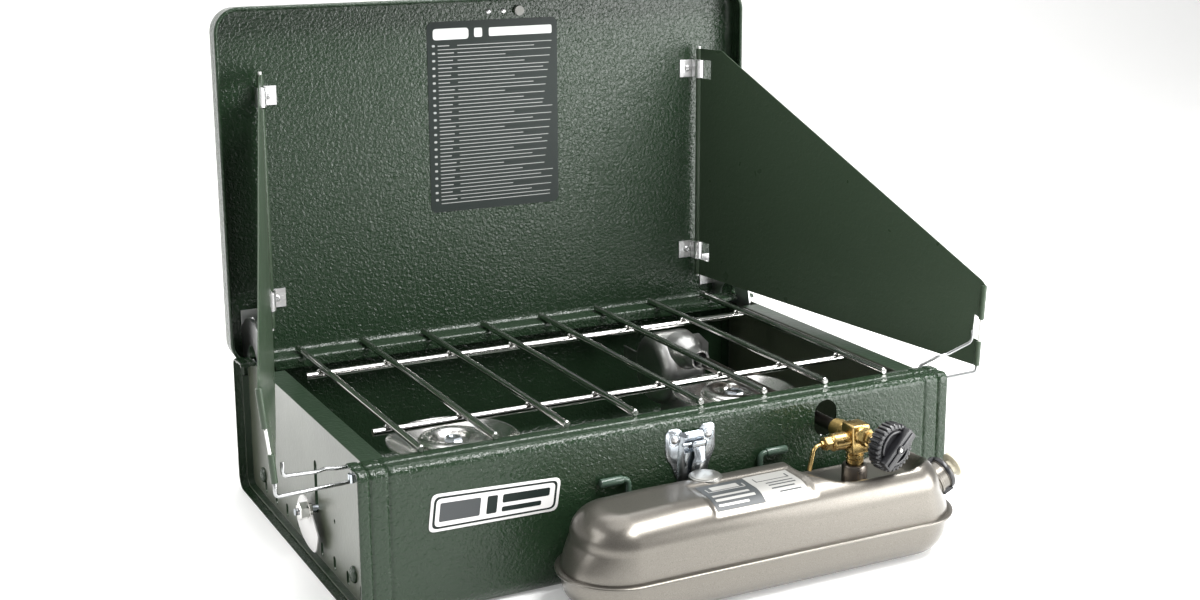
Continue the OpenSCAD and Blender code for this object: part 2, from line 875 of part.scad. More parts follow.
case_shell();
end_panel_left();
end_panel_right();
case_rivets();
hanger_wire_left();
hanger_wire_right();
latch_base();
front_label();
bail_brackets();
hinge_brackets();
aux_burner_bowl();
main_burner_bowl();
aux_burner_rings();
main_burner_rings();
aux_burner_cap();
main_burner_cap();
burner_screws();
manifold();
aux_gas_tube();
aux_valve_body();
burner_supports();
lid_pan();
hinge_strap_left();
hinge_strap_right();
lid_rivets();
wing_clips();
lid_strike();
lid_bumper();
lid_label();
wing_left();
wing_left_wires();
wing_right();
wing_right_wires();
bail_left();
bail_right();
grate_rods();
grate_crossbars();
tank_upper();
tank_lower();
filler_neck();
filler_cap();
valve_collar();
valve_body();
packing_nut();
generator_nut();
generator_tube();
fuel_tube();
lever_gland();
lighting_lever();
valve_stem();
valve_knob();
pump_barrel();
pump_clip();
pump_rod();
pump_knob();
tank_hangers();
aux_stem();
aux_knob();
latch_lever();
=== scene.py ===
"""Camp stove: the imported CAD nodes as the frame, with finer meshes and procedural finishes around them."""
import math

import bmesh
import bpy
from mathutils import Matrix, Vector


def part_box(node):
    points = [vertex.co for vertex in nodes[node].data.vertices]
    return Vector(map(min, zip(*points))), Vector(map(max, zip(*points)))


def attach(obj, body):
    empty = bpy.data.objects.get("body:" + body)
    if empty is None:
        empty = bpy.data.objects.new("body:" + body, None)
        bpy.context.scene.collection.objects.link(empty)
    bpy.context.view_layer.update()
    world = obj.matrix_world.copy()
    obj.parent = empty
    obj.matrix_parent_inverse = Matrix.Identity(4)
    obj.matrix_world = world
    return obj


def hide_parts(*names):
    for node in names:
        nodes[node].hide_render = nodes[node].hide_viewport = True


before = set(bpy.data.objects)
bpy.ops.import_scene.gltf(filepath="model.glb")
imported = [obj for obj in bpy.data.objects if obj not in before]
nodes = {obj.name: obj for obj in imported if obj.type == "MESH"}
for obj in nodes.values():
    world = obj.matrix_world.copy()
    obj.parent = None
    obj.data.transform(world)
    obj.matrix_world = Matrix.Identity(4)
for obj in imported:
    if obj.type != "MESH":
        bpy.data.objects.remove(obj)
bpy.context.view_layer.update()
MM = 0.001
UP = Vector((0, 0, 1))


def cosd(degrees):
    return math.cos(math.radians(degrees))


def sind(degrees):
    return math.sin(math.radians(degrees))


def cad(node):
    """Lowest and highest corner of a CAD node, in millimetres."""
    lo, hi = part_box(node)
    return lo * 1000, hi * 1000


case_hi = cad("case_shell")[1]
lid_lo, lid_hi = cad("lid_pan")
tank_lo, tank_hi = cad("tank_upper")
HALF_W = case_hi.x
HALF_D = case_hi.y
CASE_H = case_hi.z
END_X = HALF_W - 11
FLANGE = 22
SHEET = 1.2

# ------------------------------------------------------------------ materials


def shader(m):
    """The inputs of a material's main shader."""
    return m.node_tree.nodes["Principled BSDF"].inputs


def new_material(name, color, rough, metal=0.0, coat=0.0, coat_rough=0.1, spec=0.5):
    m = bpy.data.materials.new(name)
    m.use_nodes = True
    for key, v in (("Base Color", (*color, 1)), ("Roughness", rough), ("Metallic", metal),
                   ("Coat Weight", coat), ("Coat Roughness", coat_rough), ("Specular IOR Level", spec)):
        shader(m)[key].default_value = v
    return m


def add(m, kind, **values):
    n = m.node_tree.nodes.new(kind)
    for key, v in values.items():
        if key in n.inputs:
            n.inputs[key].default_value = v
        else:
            setattr(n, key, v)
    return n


def link(m, a, b):
    m.node_tree.links.new(a, b)


def coords(m):
    """Object coordinates, which are the stove's own frame in metres."""
    return add(m, "ShaderNodeTexCoord").outputs["Object"]


def bump_into(m, height, strength, distance):
    bu = add(m, "ShaderNodeBump", Strength=strength, Distance=distance)
    link(m, height, bu.inputs["Height"])
    link(m, bu.outputs["Normal"], shader(m)["Normal"])


def noise(m, vec, scale, detail=2.0, rough=0.5, distortion=0.0):
    n = add(m, "ShaderNodeTexNoise", Scale=scale, Detail=detail, Roughness=rough, Distortion=distortion)
    link(m, vec, n.inputs["Vector"])
    return n.outputs["Fac"]


def ramp_range(m, fac, *limits):
    """Maps fac from the first two limits to the last two."""
    r = add(m, "ShaderNodeMapRange")
    for key, v in zip(("From Min", "From Max", "To Min", "To Max"), limits):
        r.inputs[key].default_value = v
    link(m, fac, r.inputs["Value"])
    return r.outputs["Result"]


def mix_color(m, fac, a, b):
    x = add(m, "ShaderNodeMix", data_type="RGBA")
    link(m, fac, x.inputs["Factor"])
    x.inputs["A"].default_value = (*a, 1)
    x.inputs["B"].default_value = (*b, 1)
    return x.outputs["Result"]


def enamel(name, color, rough, grain, depth):
    """Gloss enamel with an orange-peel surface."""
    m = new_material(name, color, rough, spec=0.36)
    v = coords(m)
    big = noise(m, v, grain, 2.0, 0.55, 0.6)
    small = noise(m, v, grain * 2.6, 1.0)
    mixed = add(m, "ShaderNodeMath", operation="MULTIPLY_ADD")
    link(m, small, mixed.inputs[0])
    mixed.inputs[1].default_value = 0.1
    link(m, big, mixed.inputs[2])
    bump_into(m, mixed.outputs[0], 1.0, depth)
    wear = noise(m, v, 14, 4.0, 0.6)
    link(m, ramp_range(m, wear, 0.3, 0.7, rough * 0.85, rough * 1.2), shader(m)["Roughness"])
    return m


def metal(name, color, rough, scale=60, spread=0.25, bump=0.0):
    m = new_material(name, color, rough, 1.0)
    v = coords(m)
    n = noise(m, v, scale, 5.0, 0.6)
    link(m, ramp_range(m, n, 0.3, 0.7, rough * (1 - spread), rough * (1 + spread)), shader(m)["Roughness"])
    dark = tuple(c * 0.82 for c in color)
    n2 = noise(m, v, scale * 0.5, 4.0, 0.6)
    link(m, mix_color(m, ramp_range(m, n2, 0.35, 0.65, 0, 1), color, dark), shader(m)["Base Color"])
    if bump:
        bump_into(m, noise(m, v, 900, 2.0), 0.5, bump)
    return m


GREEN = enamel("green_enamel", (0.013, 0.028, 0.0135), 0.14, 380, 0.00078)
WING = enamel("wing_enamel", (0.036, 0.056, 0.034), 0.3, 260, 0.0003)
# End-panel enamel: the case's own green with painted light. Faces turned to the side (the end panels' outer
# faces) get a lighter green as a painted reflection, plus the full coat. The other faces, such as the
# flanges, keep the darker green. The base colour given here is replaced by that mix.
END_SHEEN_ENAMEL = enamel("end_panel_painted_sheen", (0.055, 0.070, 0.048), 0.34, 300, 0.0003)
shader(END_SHEEN_ENAMEL)["Coat Roughness"].default_value = 0.3
facing = add(END_SHEEN_ENAMEL, "ShaderNodeSeparateXYZ")
link(END_SHEEN_ENAMEL, add(END_SHEEN_ENAMEL, "ShaderNodeTexCoord").outputs["Normal"], facing.inputs[0])
side_sheen_mask = add(END_SHEEN_ENAMEL, "ShaderNodeMath", operation="ABSOLUTE")
link(END_SHEEN_ENAMEL, facing.outputs[0], side_sheen_mask.inputs[0])
link(END_SHEEN_ENAMEL, side_sheen_mask.outputs[0], shader(END_SHEEN_ENAMEL)["Coat Weight"])
link(END_SHEEN_ENAMEL, mix_color(END_SHEEN_ENAMEL, side_sheen_mask.outputs[0], (0.014, 0.029, 0.015), (0.060, 0.070, 0.046)),
     shader(END_SHEEN_ENAMEL)["Base Color"])
GREEN_WIRE = enamel("wire_enamel", (0.045, 0.075, 0.055), 0.2, 300, 0.0001)
ZINC = metal("zinc_plate", (0.50, 0.54, 0.58), 0.24, 70, 0.3, 0.00002)
STEEL = metal("bare_steel", (0.56, 0.55, 0.53), 0.3, 50, 0.3, 0.00003)
SATIN = metal("satin_steel", (0.70, 0.70, 0.70), 0.36, 60, 0.2, 0.00002)
CHROME = metal("bright_nickel", (0.80, 0.79, 0.77), 0.09, 40, 0.4)
BRASS = metal("brass", (0.55, 0.39, 0.16), 0.28, 90, 0.3, 0.00003)
COPPER = metal("copper_end", (0.50, 0.24, 0.12), 0.3, 90, 0.3)
BRASS_DULL = metal("old_brass", (0.42, 0.30, 0.11), 0.38, 90, 0.3, 0.00003)
DARK = metal("dark_steel", (0.085, 0.075, 0.065), 0.38, 60, 0.3, 0.00002)
MANIFOLD = metal("aluminised_steel", (0.55, 0.55, 0.54), 0.36, 30, 0.25, 0.00004)
WIRE = new_material("white_wire", (0.72, 0.72, 0.70), 0.3, 0.35)
ZINC_WIRE = metal("zinc_wire", (0.42, 0.43, 0.43), 0.3, 90, 0.3)
BOWL = metal("spun_steel", (0.82, 0.81, 0.79), 0.2, 40, 0.3, 0.00001)
CAP = metal("cap_nickel", (0.36, 0.355, 0.335), 0.36, 60, 0.2)
COLLAR = metal("dark_collar", (0.17, 0.15, 0.13), 0.34, 120, 0.3, 0.00002)
WHITE_PLATE = new_material("plate_white", (0.68, 0.67, 0.66), 0.35)
BLACK = new_material("black_plastic", (0.012, 0.012, 0.014), 0.3, spec=0.55)
CREAM = new_material("cream_plastic", (0.62, 0.58, 0.46), 0.35, spec=0.5)
RUBBER = new_material("grey_rubber", (0.30, 0.30, 0.28), 0.6)
for m_plain, grain_scale, depth in ((BLACK, 700, 0.00006), (CREAM, 500, 0.00004), (WIRE, 400, 0.00005),
                                    (RUBBER, 800, 0.0001), (WHITE_PLATE, 500, 0.00002)):
    bump_into(m_plain, noise(m_plain, coords(m_plain), grain_scale, 3.0), 0.4, depth)


def tank_paint():
    m = new_material("tank_paint", (0.50, 0.47, 0.42), 0.34, 0.85, coat=0.35, coat_rough=0.18)
    v = coords(m)
    flake = noise(m, v, 2600, 1.0)
    link(m, mix_color(m, ramp_range(m, flake, 0.35, 0.65, 0, 1), (0.185, 0.172, 0.150),
                      (0.13, 0.12, 0.104)), shader(m)["Base Color"])
    patch = noise(m, v, 25, 3.0)
    link(m, ramp_range(m, patch, 0.3, 0.7, 0.28, 0.36), shader(m)["Roughness"])
    bump_into(m, flake, 0.25, 0.00003)
    return m


TANK = tank_paint()

# ------------------------------------------------------------------ mesh helpers


def make(name, verts, faces, material, body, node=None, slot=None, angle=38):
    """A mesh piece from millimetre coordinates, riding on a CAD body."""
    me = bpy.data.meshes.new(name)
    me.from_pydata([Vector(v) * MM for v in verts], [], faces)
    me.validate()
    o = bpy.data.objects.new(name, me)
    bpy.context.scene.collection.objects.link(o)
    return finish_piece(o, material, body, node, angle)


def finish_piece(o, material, body, node=None, angle=38):
    o.data.materials.clear()
    o.data.materials.append(material)
    shade(o.data, angle)
    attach(o, body)
    if node:
        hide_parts(*([node] if isinstance(node, str) else node))
    return o


def shade(me, angle):
    bm = bmesh.new()
    bm.from_mesh(me)
    bmesh.ops.remove_doubles(bm, verts=bm.verts, dist=1e-7)
    bmesh.ops.recalc_face_normals(bm, faces=bm.faces)
    limit = math.radians(angle)
    for e in bm.edges:
        e.smooth = len(e.link_faces) != 2 or e.calc_face_angle(0.0) < limit
    for f in bm.faces:
        f.smooth = True
    bm.to_mesh(me)
    bm.free()


def bevel(o, width, segments=2, angle=35):
    b = o.modifiers.new("bevel", "BEVEL")
    b.width = width * MM
    b.segments = segments
    b.limit_method = "ANGLE"
    b.angle_limit = math.radians(angle)
    b.harden_normals = False
    return o


def bake(o):
    """Applies the modifiers of a piece that isn't a CAD node."""
    dg = bpy.context.evaluated_depsgraph_get()
    me = bpy.data.meshes.new_from_object(o.evaluated_get(dg))
    o.modifiers.clear()
    o.data = me
    return o


def sheet(o, thickness, material, body, angle, offset=-1):
    """Gives an open surface the thickness of sheet metal."""
    m = o.modifiers.new("sheet", "SOLIDIFY")
    m.thickness = thickness * MM
    m.offset = offset
    bake(o)
    return finish_piece(o, material, body, None, angle)


def soften(o, width, segments, material, body, angle):
    """Rounds the sharp edges of a piece."""
    bevel(o, width, segments)
    bake(o)
    return finish_piece(o, material, body, None, angle)


def join(parts):
    """Joins several plain meshes, each (verts, faces), into one list pair."""
    verts, faces = [], []
    for v, f in parts:
        k = len(verts)
        verts += v
        faces += [[i + k for i in q] for q in f]
    return verts, faces


def grid_faces(rows, cols, close_cols=True, close_rows=False):
    faces = []
    for i in range(rows if close_rows else rows - 1):
        for j in range(cols if close_cols else cols - 1):
            a, b = i * cols + j, i * cols + (j + 1) % cols
            c, d = ((i + 1) % rows) * cols + (j + 1) % cols, ((i + 1) % rows) * cols + j
            faces.append([a, b, c, d])
    return faces


def capped(rows, cols):
    """Faces of a tube with flat ends."""
    return grid_faces(rows, cols) + [list(range(cols))[::-1], [(rows - 1) * cols + k for k in range(cols)]]


def basis(axis):
    z = Vector(axis).normalized()
    x = z.orthogonal().normalized()
    return x, z.cross(x), z


def around(x, y, a):
    return x * math.cos(a) + y * math.sin(a)


def spokes(x, y, n, turn=0.0):
    """Unit vectors all round a circle in the plane of x and y."""
    return [around(x, y, 2 * math.pi * k / n + turn) for k in range(n)]


def lathe(profile, origin, axis, segments=64, sides=0, turn=0.0):
    """Turned shape: profile is (radius, distance along axis). sides makes it a prism."""
    x, y, z = basis(axis)
    o = Vector(origin)
    n = sides or segments
    verts = [o + z * h + d * max(r, 1e-4) for r, h in profile for d in spokes(x, y, n, turn)]
    faces = grid_faces(len(profile), n)
    if profile[0][0] > 1e-3:
        faces.append(list(range(n))[::-1])
    if profile[-1][0] > 1e-3:
        faces.append([(len(profile) - 1) * n + k for k in range(n)])
    return verts, faces


def ring(profile, origin, axis, segments=64):
    """Closed ring: the profile is a closed loop of (radius, distance)."""
    x, y, z = basis(axis)
    o = Vector(origin)
    verts = [o + z * h + d * r for r, h in profile for d in spokes(x, y, segments)]
    return verts, grid_faces(len(profile), segments, True, True)


def rod(a, b, r, segments=24, chamfer=0.3):
    a, b = Vector(a), Vector(b)
    h = (b - a).length
    return lathe([(r - chamfer, 0), (r, chamfer), (r, h - chamfer), (r - chamfer, h)], a, b - a, segments)


def smooth_path(points, radius, steps=6):
    """Rounds the corners of a list of points with arcs."""
    pts = [Vector(p) for p in points]
    out = [pts[0]]
    for i in range(1, len(pts) - 1):
        a, b, c = pts[i - 1], pts[i], pts[i + 1]
        u, w = (a - b), (c - b)
        d = min(radius, u.length * 0.45, w.length * 0.45)
        p, q = b + u.normalized() * d, b + w.normalized() * d
        for k in range(steps + 1):
            t = k / steps
            out.append(p * (1 - t) ** 2 + b * 2 * t * (1 - t) + q * t * t)
    out.append(pts[-1])
    return out


def tube(points, r, bend=4, segments=16):
    """Round bar along points with rounded corners."""
    path = smooth_path(points, bend)
    t0 = (path[1] - path[0]).normalized()
    x = t0.orthogonal().normalized()
    prev, rows = t0, []
    for i, p in enumerate(path):
        t = (path[min(i + 1, len(path) - 1)] - path[max(i - 1, 0)]).normalized()
        x = prev.rotation_difference(t) @ x
        prev = t
        y = t.cross(x).normalized()
        x = y.cross(t).normalized()
        rows.append((p, x.copy(), y.copy(), 1.0))
    # a small chamfer at both ends
    chamfer = 0.18
    (a, ax, ay), (b, bx, by) = rows[0][:3], rows[-1][:3]
    start = [(a, ax, ay, 1 - chamfer), (a + t0 * (r * chamfer), ax, ay, 1.0)]
    end = [(b - prev * (r * chamfer), bx, by, 1.0), (b, bx, by, 1 - chamfer)]
    rows = start + rows[1:-1] + end
    verts = [p + d * r * size for p, x, y, size in rows for d in spokes(x, y, segments)]
    return verts, capped(len(rows), segments)


def box_mesh(lo, hi):
    (x0, y0, z0), (x1, y1, z1) = lo, hi
    v = [Vector(c) for c in ((x0, y0, z0), (x1, y0, z0), (x1, y1, z0), (x0, y1, z0), (x0, y0, z1),
                             (x1, y0, z1), (x1, y1, z1), (x0, y1, z1))]
    return v, [[3, 2, 1, 0], [4, 5, 6, 7], [0, 1, 5, 4], [1, 2, 6, 5], [2, 3, 7, 6], [3, 0, 4, 7]]


def front(u, v, w):
    return Vector((u, w, v))


def prism(outline, lift, depth, place):
    """Extrudes a 2D outline by depth from lift; place maps (u, v, w) to a point."""
    n = len(outline)
    verts = [place(u, v, lift) for u, v in outline] + [place(u, v, lift + depth) for u, v in outline]
    faces = [list(range(n))[::-1], [n + k for k in range(n)]]
    faces += [[k, (k + 1) % n, n + (k + 1) % n, n + k] for k in range(n)]
    return verts, faces


def arc(cx, cy, r, a0, a1, n=8):
    return [(cx + r * cosd(a), cy + r * sind(a)) for a in (a0 + (a1 - a0) * i / n for i in range(n + 1))]


def round_rect(x0, y0, x1, y1, r, n=8):
    r = max(r, 0.05)
    return (arc(x0 + r, y0 + r, r, 180, 270, n) + arc(x1 - r, y0 + r, r, 270, 360, n)
            + arc(x1 - r, y1 - r, r, 0, 90, n) + arc(x0 + r, y1 - r, r, 90, 180, n))


def cut(o, cutter_parts):
    """Cuts the given closed meshes out of a piece."""
    v, f = join(cutter_parts)
    me = bpy.data.meshes.new("cutter")
    me.from_pydata([Vector(p) * MM for p in v], [], f)
    c = bpy.data.objects.new("cutter", me)
    bpy.context.scene.collection.objects.link(c)
    b = bmesh.new()
    b.from_mesh(me)
    bmesh.ops.recalc_face_normals(b, faces=b.faces)
    b.to_mesh(me)
    b.free()
    mod = o.modifiers.new("cut", "BOOLEAN")
    mod.operation = "DIFFERENCE"
    mod.solver = "EXACT"
    mod.object = c
    bake(o)
    bpy.data.objects.remove(c)
    return o


# ------------------------------------------------------------------ case


def case_shell():
    """Folded shell: one profile swept along X, with pressed grooves near both ends."""
    f, h, d = FLANGE, CASE_H, HALF_D
    front = [(-d + f, h - 8), (-d + f, h - 3)]
    front += [(-d + f - 1.5 + 1.5 * cosd(a), h - 1.5 + 1.5 * sind(a)) for a in (0, 30, 60, 90)]
    flange_line = [(-d + 13.4, h), (-d + 12.6, h), (-d + 11.8, h - 0.7), (-d + 7.6, h - 0.7)]
    top = [(-d + 5 - 5 * sind(a), h - 5.2 + 5 * cosd(a)) for a in range(0, 91, 9)]
    wall = [(-d, z) for z in (95, 90, 80, 70, 60, 50, 40, 30, 20, 12)]
    low = [(-d + 11 - 11 * cosd(a), 11 - 11 * sind(a)) for a in range(0, 91, 9)]
    half = front + flange_line + top + wall + low
    bottom = [(y, 0) for y in (-110, -70, -30, 0, 30, 70, 110)]
    path = half + bottom + [(-y, z) for y, z in reversed(half)]
    # grooves along the profile near the ends: depth as a function of |x|
    def groove(ax):
        g1 = 0.9 * math.exp(-((ax - 221.8) / 1.0) ** 2)
        g2 = 0.8 * math.exp(-((ax - 209.4) / 1.2) ** 2)
        step = 0.35 / (1 + math.exp(-(ax - 223) * 2.5))
        return g1 + g2 - step + 0.35 * (ax > 229)
    xs = [0, 20, 40, 60, 80, 100, 120, 140, 160, 180, 195, 202, 204.5]
    xs += [206 + 0.5 * k for k in range(42)]
    xs += [228, 229, 229.6, 230]
    xs = [-v for v in reversed(xs[1:])] + xs
    verts = []
    n = len(path)
    normals = []
    for i in range(n):
        a, b = path[max(i - 1, 0)], path[min(i + 1, n - 1)]
        t = Vector((b[0] - a[0], b[1] - a[1])).normalized()
        normals.append((-t.y, t.x))
    for x in xs:
        g = groove(abs(x))
        for (y, z), (ny, nz) in zip(path, normals):
            if abs(x) > 203.5 and z < h - 2.5 and abs(y) <= d - f + 0.01 and z > 90:
                z = h - 2.2
            verts.append((x, y + ny * g, z + nz * g))
    faces = grid_faces(len(xs), n, False)
    o = make("case_sheet", verts, faces, GREEN, "case", "case_shell", "green_enamel")
    s = o.modifiers.new("sheet", "SOLIDIFY")
    s.thickness = SHEET * MM
    s.offset = 0
    return o


shell = case_shell()
bake(shell)
slot_outline = [(121 + 9.5 * cosd(a), (91.5 if a <= 180 else 83.5) + 9.5 * sind(a))
                for a in range(0, 360, 10)]
hinge_slots = [box_mesh((x, 108.5, 90), (x + 5, 144.2, 110)) for x in (-218, 213)]
cut(shell, [prism(slot_outline, -HALF_D - 4, 12, front)] + hinge_slots)
finish_piece(shell, GREEN, "case", None, 32)

# ------------------------------------------------------------------ lid


def lid():
    x0, x1, z0, z1 = lid_lo.x, lid_hi.x, lid_lo.z, lid_hi.z
    rim, back = lid_lo.y, lid_hi.y
    face = back - 1.0
    # each loop is (inset, y)
    loops = [(inset, face) for inset in (120, 90, 60, 40, 25, 15)]
    loops += [(6 - 5 * sind(a), face - 5 + 5 * cosd(a)) for a in range(0, 91, 10)]
    loops += [(1.0, rim + 10), (1.1, rim + 4)]
    loops += [(1.1 - 1.5 * cosd(a + 180), rim + 1.5 - 1.5 * sind(a)) for a in range(-20, 201, 20)]
    loops += [(0.5, rim + 4), (0.2, rim + 10)]
    loops += [(0.2 + 6 - 6 * cosd(a), back - 6 + 6 * sind(a)) for a in range(0, 91, 10)]
    loops += [(inset, back) for inset in (15, 25, 40, 60, 90, 120)]
    verts = []
    for e, y in loops:
        verts += [(x, y, z) for x, z in round_rect(x0 + e, z0 + e, x1 - e, z1 - e, max(19 - e, 2.0), 10)]
    n = 44
    faces = grid_faces(len(loops), n)
    faces.append(list(range(n)))
    faces.append([(len(loops) - 1) * n + k for k in range(n)][::-1])
    return make("lid_sheet", verts, faces, GREEN, "lid", "lid_pan", "green_enamel", 50)


lid()

# ------------------------------------------------------------------ tank

TX0, TX1 = tank_lo.x + 4, tank_hi.x - 4
TY = (tank_lo.y + tank_hi.y) / 2
TR = (tank_hi.y - tank_lo.y) / 2 - 4
SEAM = 30.0


def tank_outline(steps_side=150, steps_end=64):
    """Centre-line point and outward normal round the stadium."""
    a, b = TX0 + TR, TX1 - TR
    side = [(b - a) * k / steps_side for k in range(steps_side)]
    turn = [180 * k / steps_end - 90 for k in range(steps_end)]
    out = [((a + k, TY), (0, -1)) for k in side]
    out += [((b, TY), (cosd(t), sind(t))) for t in turn]
    out += [((b - k, TY), (0, 1)) for k in side]
    return out + [((a, TY), (cosd(t + 180), sind(t + 180))) for t in turn]


def smooth_min(a, b, k):
    h = max(k - abs(a - b), 0) / k
    return min(a, b) - h * h * k / 4


def pocket_height(x, y):
    """Height of the recess round the valve, and of the flat under the filler cap."""
    dx = max(98 - x, x - 142, 0)
    dy = y - (TY + 2)
    dy = dy * (0.62 if dy > 0 else 1.0)
    s = math.hypot(dx, dy) - 24
    z = 53.0
    if s > -7:
        z += min(s + 7, 7) ** 2 / 7 * 0.9
    if s > 0:
        z += s * 2.2
    return z


def label_recess(x, y):
    """Shallow flat pressed into the top and front of the shell for the instruction label."""
    edge = min(x + 15.5, 65.5 - x, y + 221, -181 - y)
    return 1.3 * min(max(edge / 2.5, 0), 1)


def tank_upper():
    outline = tank_outline()
    rows = [("wall", k / 10) for k in range(11)]
    rows += [("arc", k / 18) for k in range(1, 19)]
    rows += [("flat", k / 14) for k in range(1, 15)]
    verts = []
    top = tank_hi.z
    for kind, t in rows:
        for (cx, cy), (nx, ny) in outline:
            lean = 1.5 + (nx * nx) * (6 if nx < 0 else 10)
            if kind == "wall":
                d, z = lean * t ** 1.5, SEAM + 0.5 + (20 - 0.5) * t
            elif kind == "arc":
                a = math.radians(90 * t)
                d, z = lean + 23 * (1 - math.cos(a)), top - 22 + 22 * math.sin(a)
            else:
                d, z = lean + 23 + (TR - lean - 23) * t, top
            x, y = cx + nx * (TR - d), cy + ny * (TR - d)
            # the top falls away a little towards the left end
            if z > 55:
                z -= max(0, -40 - x) * 0.035 * (z - 55) / 17
            z = smooth_min(z, pocket_height(x, y), 4.0) - label_recess(x, y)
            verts.append((x, y, z))
    return verts, grid_faces(len(rows), len(outline))


def tank_lower():
    outline = tank_outline()
    prof = [(0, SEAM - 1), (0.2, 22), (0.8, 17), (2.0, 12.5), (4.2, 8.6), (7.5, 5.4), (11.5, 3.2),
            (16, 2.2), (21, 2.0), (29, 2.0), (37, 2.0)]
    # resample finely
    pts = []
    for i in range(len(prof) - 1):
        p0, p1 = prof[max(i - 1, 0)], prof[i]
        p2, p3 = prof[i + 1], prof[min(i + 2, len(prof) - 1)]
        for k in range(4):
            t = k / 4
            pts.append(tuple(0.5 * ((2 * p1[c]) + (-p0[c] + p2[c]) * t
                                    + (2 * p0[c] - 5 * p1[c] + 4 * p2[c] - p3[c]) * t * t
                                    + (-p0[c] + 3 * p1[c] - 3 * p2[c] + p3[c]) * t ** 3) for c in (0, 1)))
    pts.append(prof[-1])
    verts = []
    for d, z in pts:
        for (cx, cy), (nx, ny) in outline:
            dd = min(d * (1 + 0.9 * nx * nx * (d < 20)), TR)
            verts.append((cx + nx * (TR - dd), cy + ny * (TR - dd), z))
    return verts, grid_faces(len(pts), len(outline))


def seam_ring():
    outline = tank_outline(80, 48)
    loop = [(-1.5, SEAM + 1.2), (0.6, SEAM + 1.2), (2.6, SEAM + 1.3), (3.6, SEAM + 0.9), (4.0, SEAM),
            (3.6, SEAM - 0.9), (2.6, SEAM - 1.3), (0.6, SEAM - 1.2), (-1.5, SEAM - 1.2)]
    verts = []
    for e, z in loop:
        for (cx, cy), (nx, ny) in outline:
            verts.append((cx + nx * (TR + e), cy + ny * (TR + e), z))
    return verts, grid_faces(len(loop), len(outline), True, True)


make("tank_top_shell", *tank_upper(), TANK, "tank", "tank_upper", "tank_paint", 60)
make("tank_bottom_shell", *tank_lower(), TANK, "tank", "tank_lower", "tank_paint", 60)
make("tank_seam", *seam_ring(), TANK, "tank", None, "tank_paint", 60)


def tank_surface(x, y):
    """Height of the top shell between its rounded ends."""
    d = TR - abs(y - TY)
    a = math.acos(min(max(1 - (d - 1.5) / 23, 0), 1)) if d < 24.5 else math.pi / 2
    z = tank_hi.z - 22 + 22 * math.sin(a)
    return z - label_recess(x, y)


def draped(name, x0, y0, x1, y1, lift, material, slot="label"):
    """A thin patch that follows the shell."""
    nx, ny = 12, 14
    verts = []
    for i in range(nx + 1):
        for j in range(ny + 1):
            x, y = x0 + (x1 - x0) * i / nx, y0 + (y1 - y0) * j / ny
            verts.append((x + (y + 200) * 0.04, y, tank_surface(x, y) + lift))
    o = make(name, verts, grid_faces(nx + 1, ny + 1, False), material, "tank", None, slot, 60)
    return sheet(o, 0.12, material, "tank", 40)


WHITE_INK = new_material("label_pale", (0.62, 0.64, 0.62), 0.4)
DARK_INK = new_material("label_dark", (0.012, 0.018, 0.016), 0.32, spec=0.15)
GREY_INK = new_material("label_grey", (0.035, 0.04, 0.042), 0.45)
PALE_INK = new_material("label_fine", (0.30, 0.31, 0.30), 0.45)
FOIL = new_material("label_foil", (0.40, 0.395, 0.375), 0.42, 0.5)
for m_plain in (WHITE_INK, DARK_INK, GREY_INK, PALE_INK, FOIL):
    bump_into(m_plain, noise(m_plain, coords(m_plain), 500, 3.0), 0.3, 0.00003)
draped("tank_label_dark", -11, -217.5, 26, -185.5, 0.2, GREY_INK)
draped("tank_label_foil", 26.2, -216.5, 61, -184.5, 0.25, FOIL)
label_lines = ((-7, -198, 22, -197.2), (-7, -192, -6.2, -198), (21.2, -192, 22, -198),
               (-3, -196, 18, -190), (-8, -206, 20, -203.6), (-8, -211, 22, -208.6),
               (-8, -215, 15, -213.4))
foil_lines = ((31, -196, 57, -195.3), (31, -190, 31.7, -196), (56, -190, 57, -196),
              (36, -201, 57, -199.8), (36, -205, 57, -203.8), (36, -209, 54, -207.8),
              (40, -213, 57, -212))
for tag, lines, lift, ink in (("label", label_lines, 0.32, FOIL), ("foil", foil_lines, 0.36, GREY_INK)):
    for k, corners in enumerate(lines):
        draped("tank_%s_line_%d" % (tag, k), *corners, lift, ink)

# ------------------------------------------------------------------ wings


def wing_frame(s):
    """Hinge point, direction along the wing and outward normal, read from the CAD wing's box."""
    lo, hi = cad("wing_left" if s < 0 else "wing_right")
    far = Vector((lo.x + 2, lo.y + 2, 0)) if s < 0 else Vector((hi.x - 2, lo.y + 2, 0))
    hinge = Vector((s * 194.0, 160.0, 0))
    u = (far - hinge).normalized()
    n = Vector((u.y, -u.x, 0))
    if n.x * s < 0:
        n = -n
    return hinge, u, n, (far - hinge).length + 2


WING_Z0, WING_Z1, HEM_Z0, HEM_Z1 = 120.5, 321.0, 105.0, 166.5
CLIPS = (142.5, 303.5)


def wing_at(s, u, w, z):
    """A point on the slightly twisted wing: u along it, w outward."""
    hinge, du, dn, reach = wing_frame(s)
    t = min(max((z - HEM_Z0) / (HEM_Z1 - HEM_Z0), 0), 1)
    t = t * t * (3 - 2 * t)
    twist = math.radians(-0.5 + 1.3 * t if s < 0 else -0.15 + 0.95 * t)
    sag = 1.2 * math.sin(math.pi * min(u / reach, 1)) * (1 - t)
    return hinge + du * u + dn * (w + u * twist - sag) + Vector((0, 0, z))


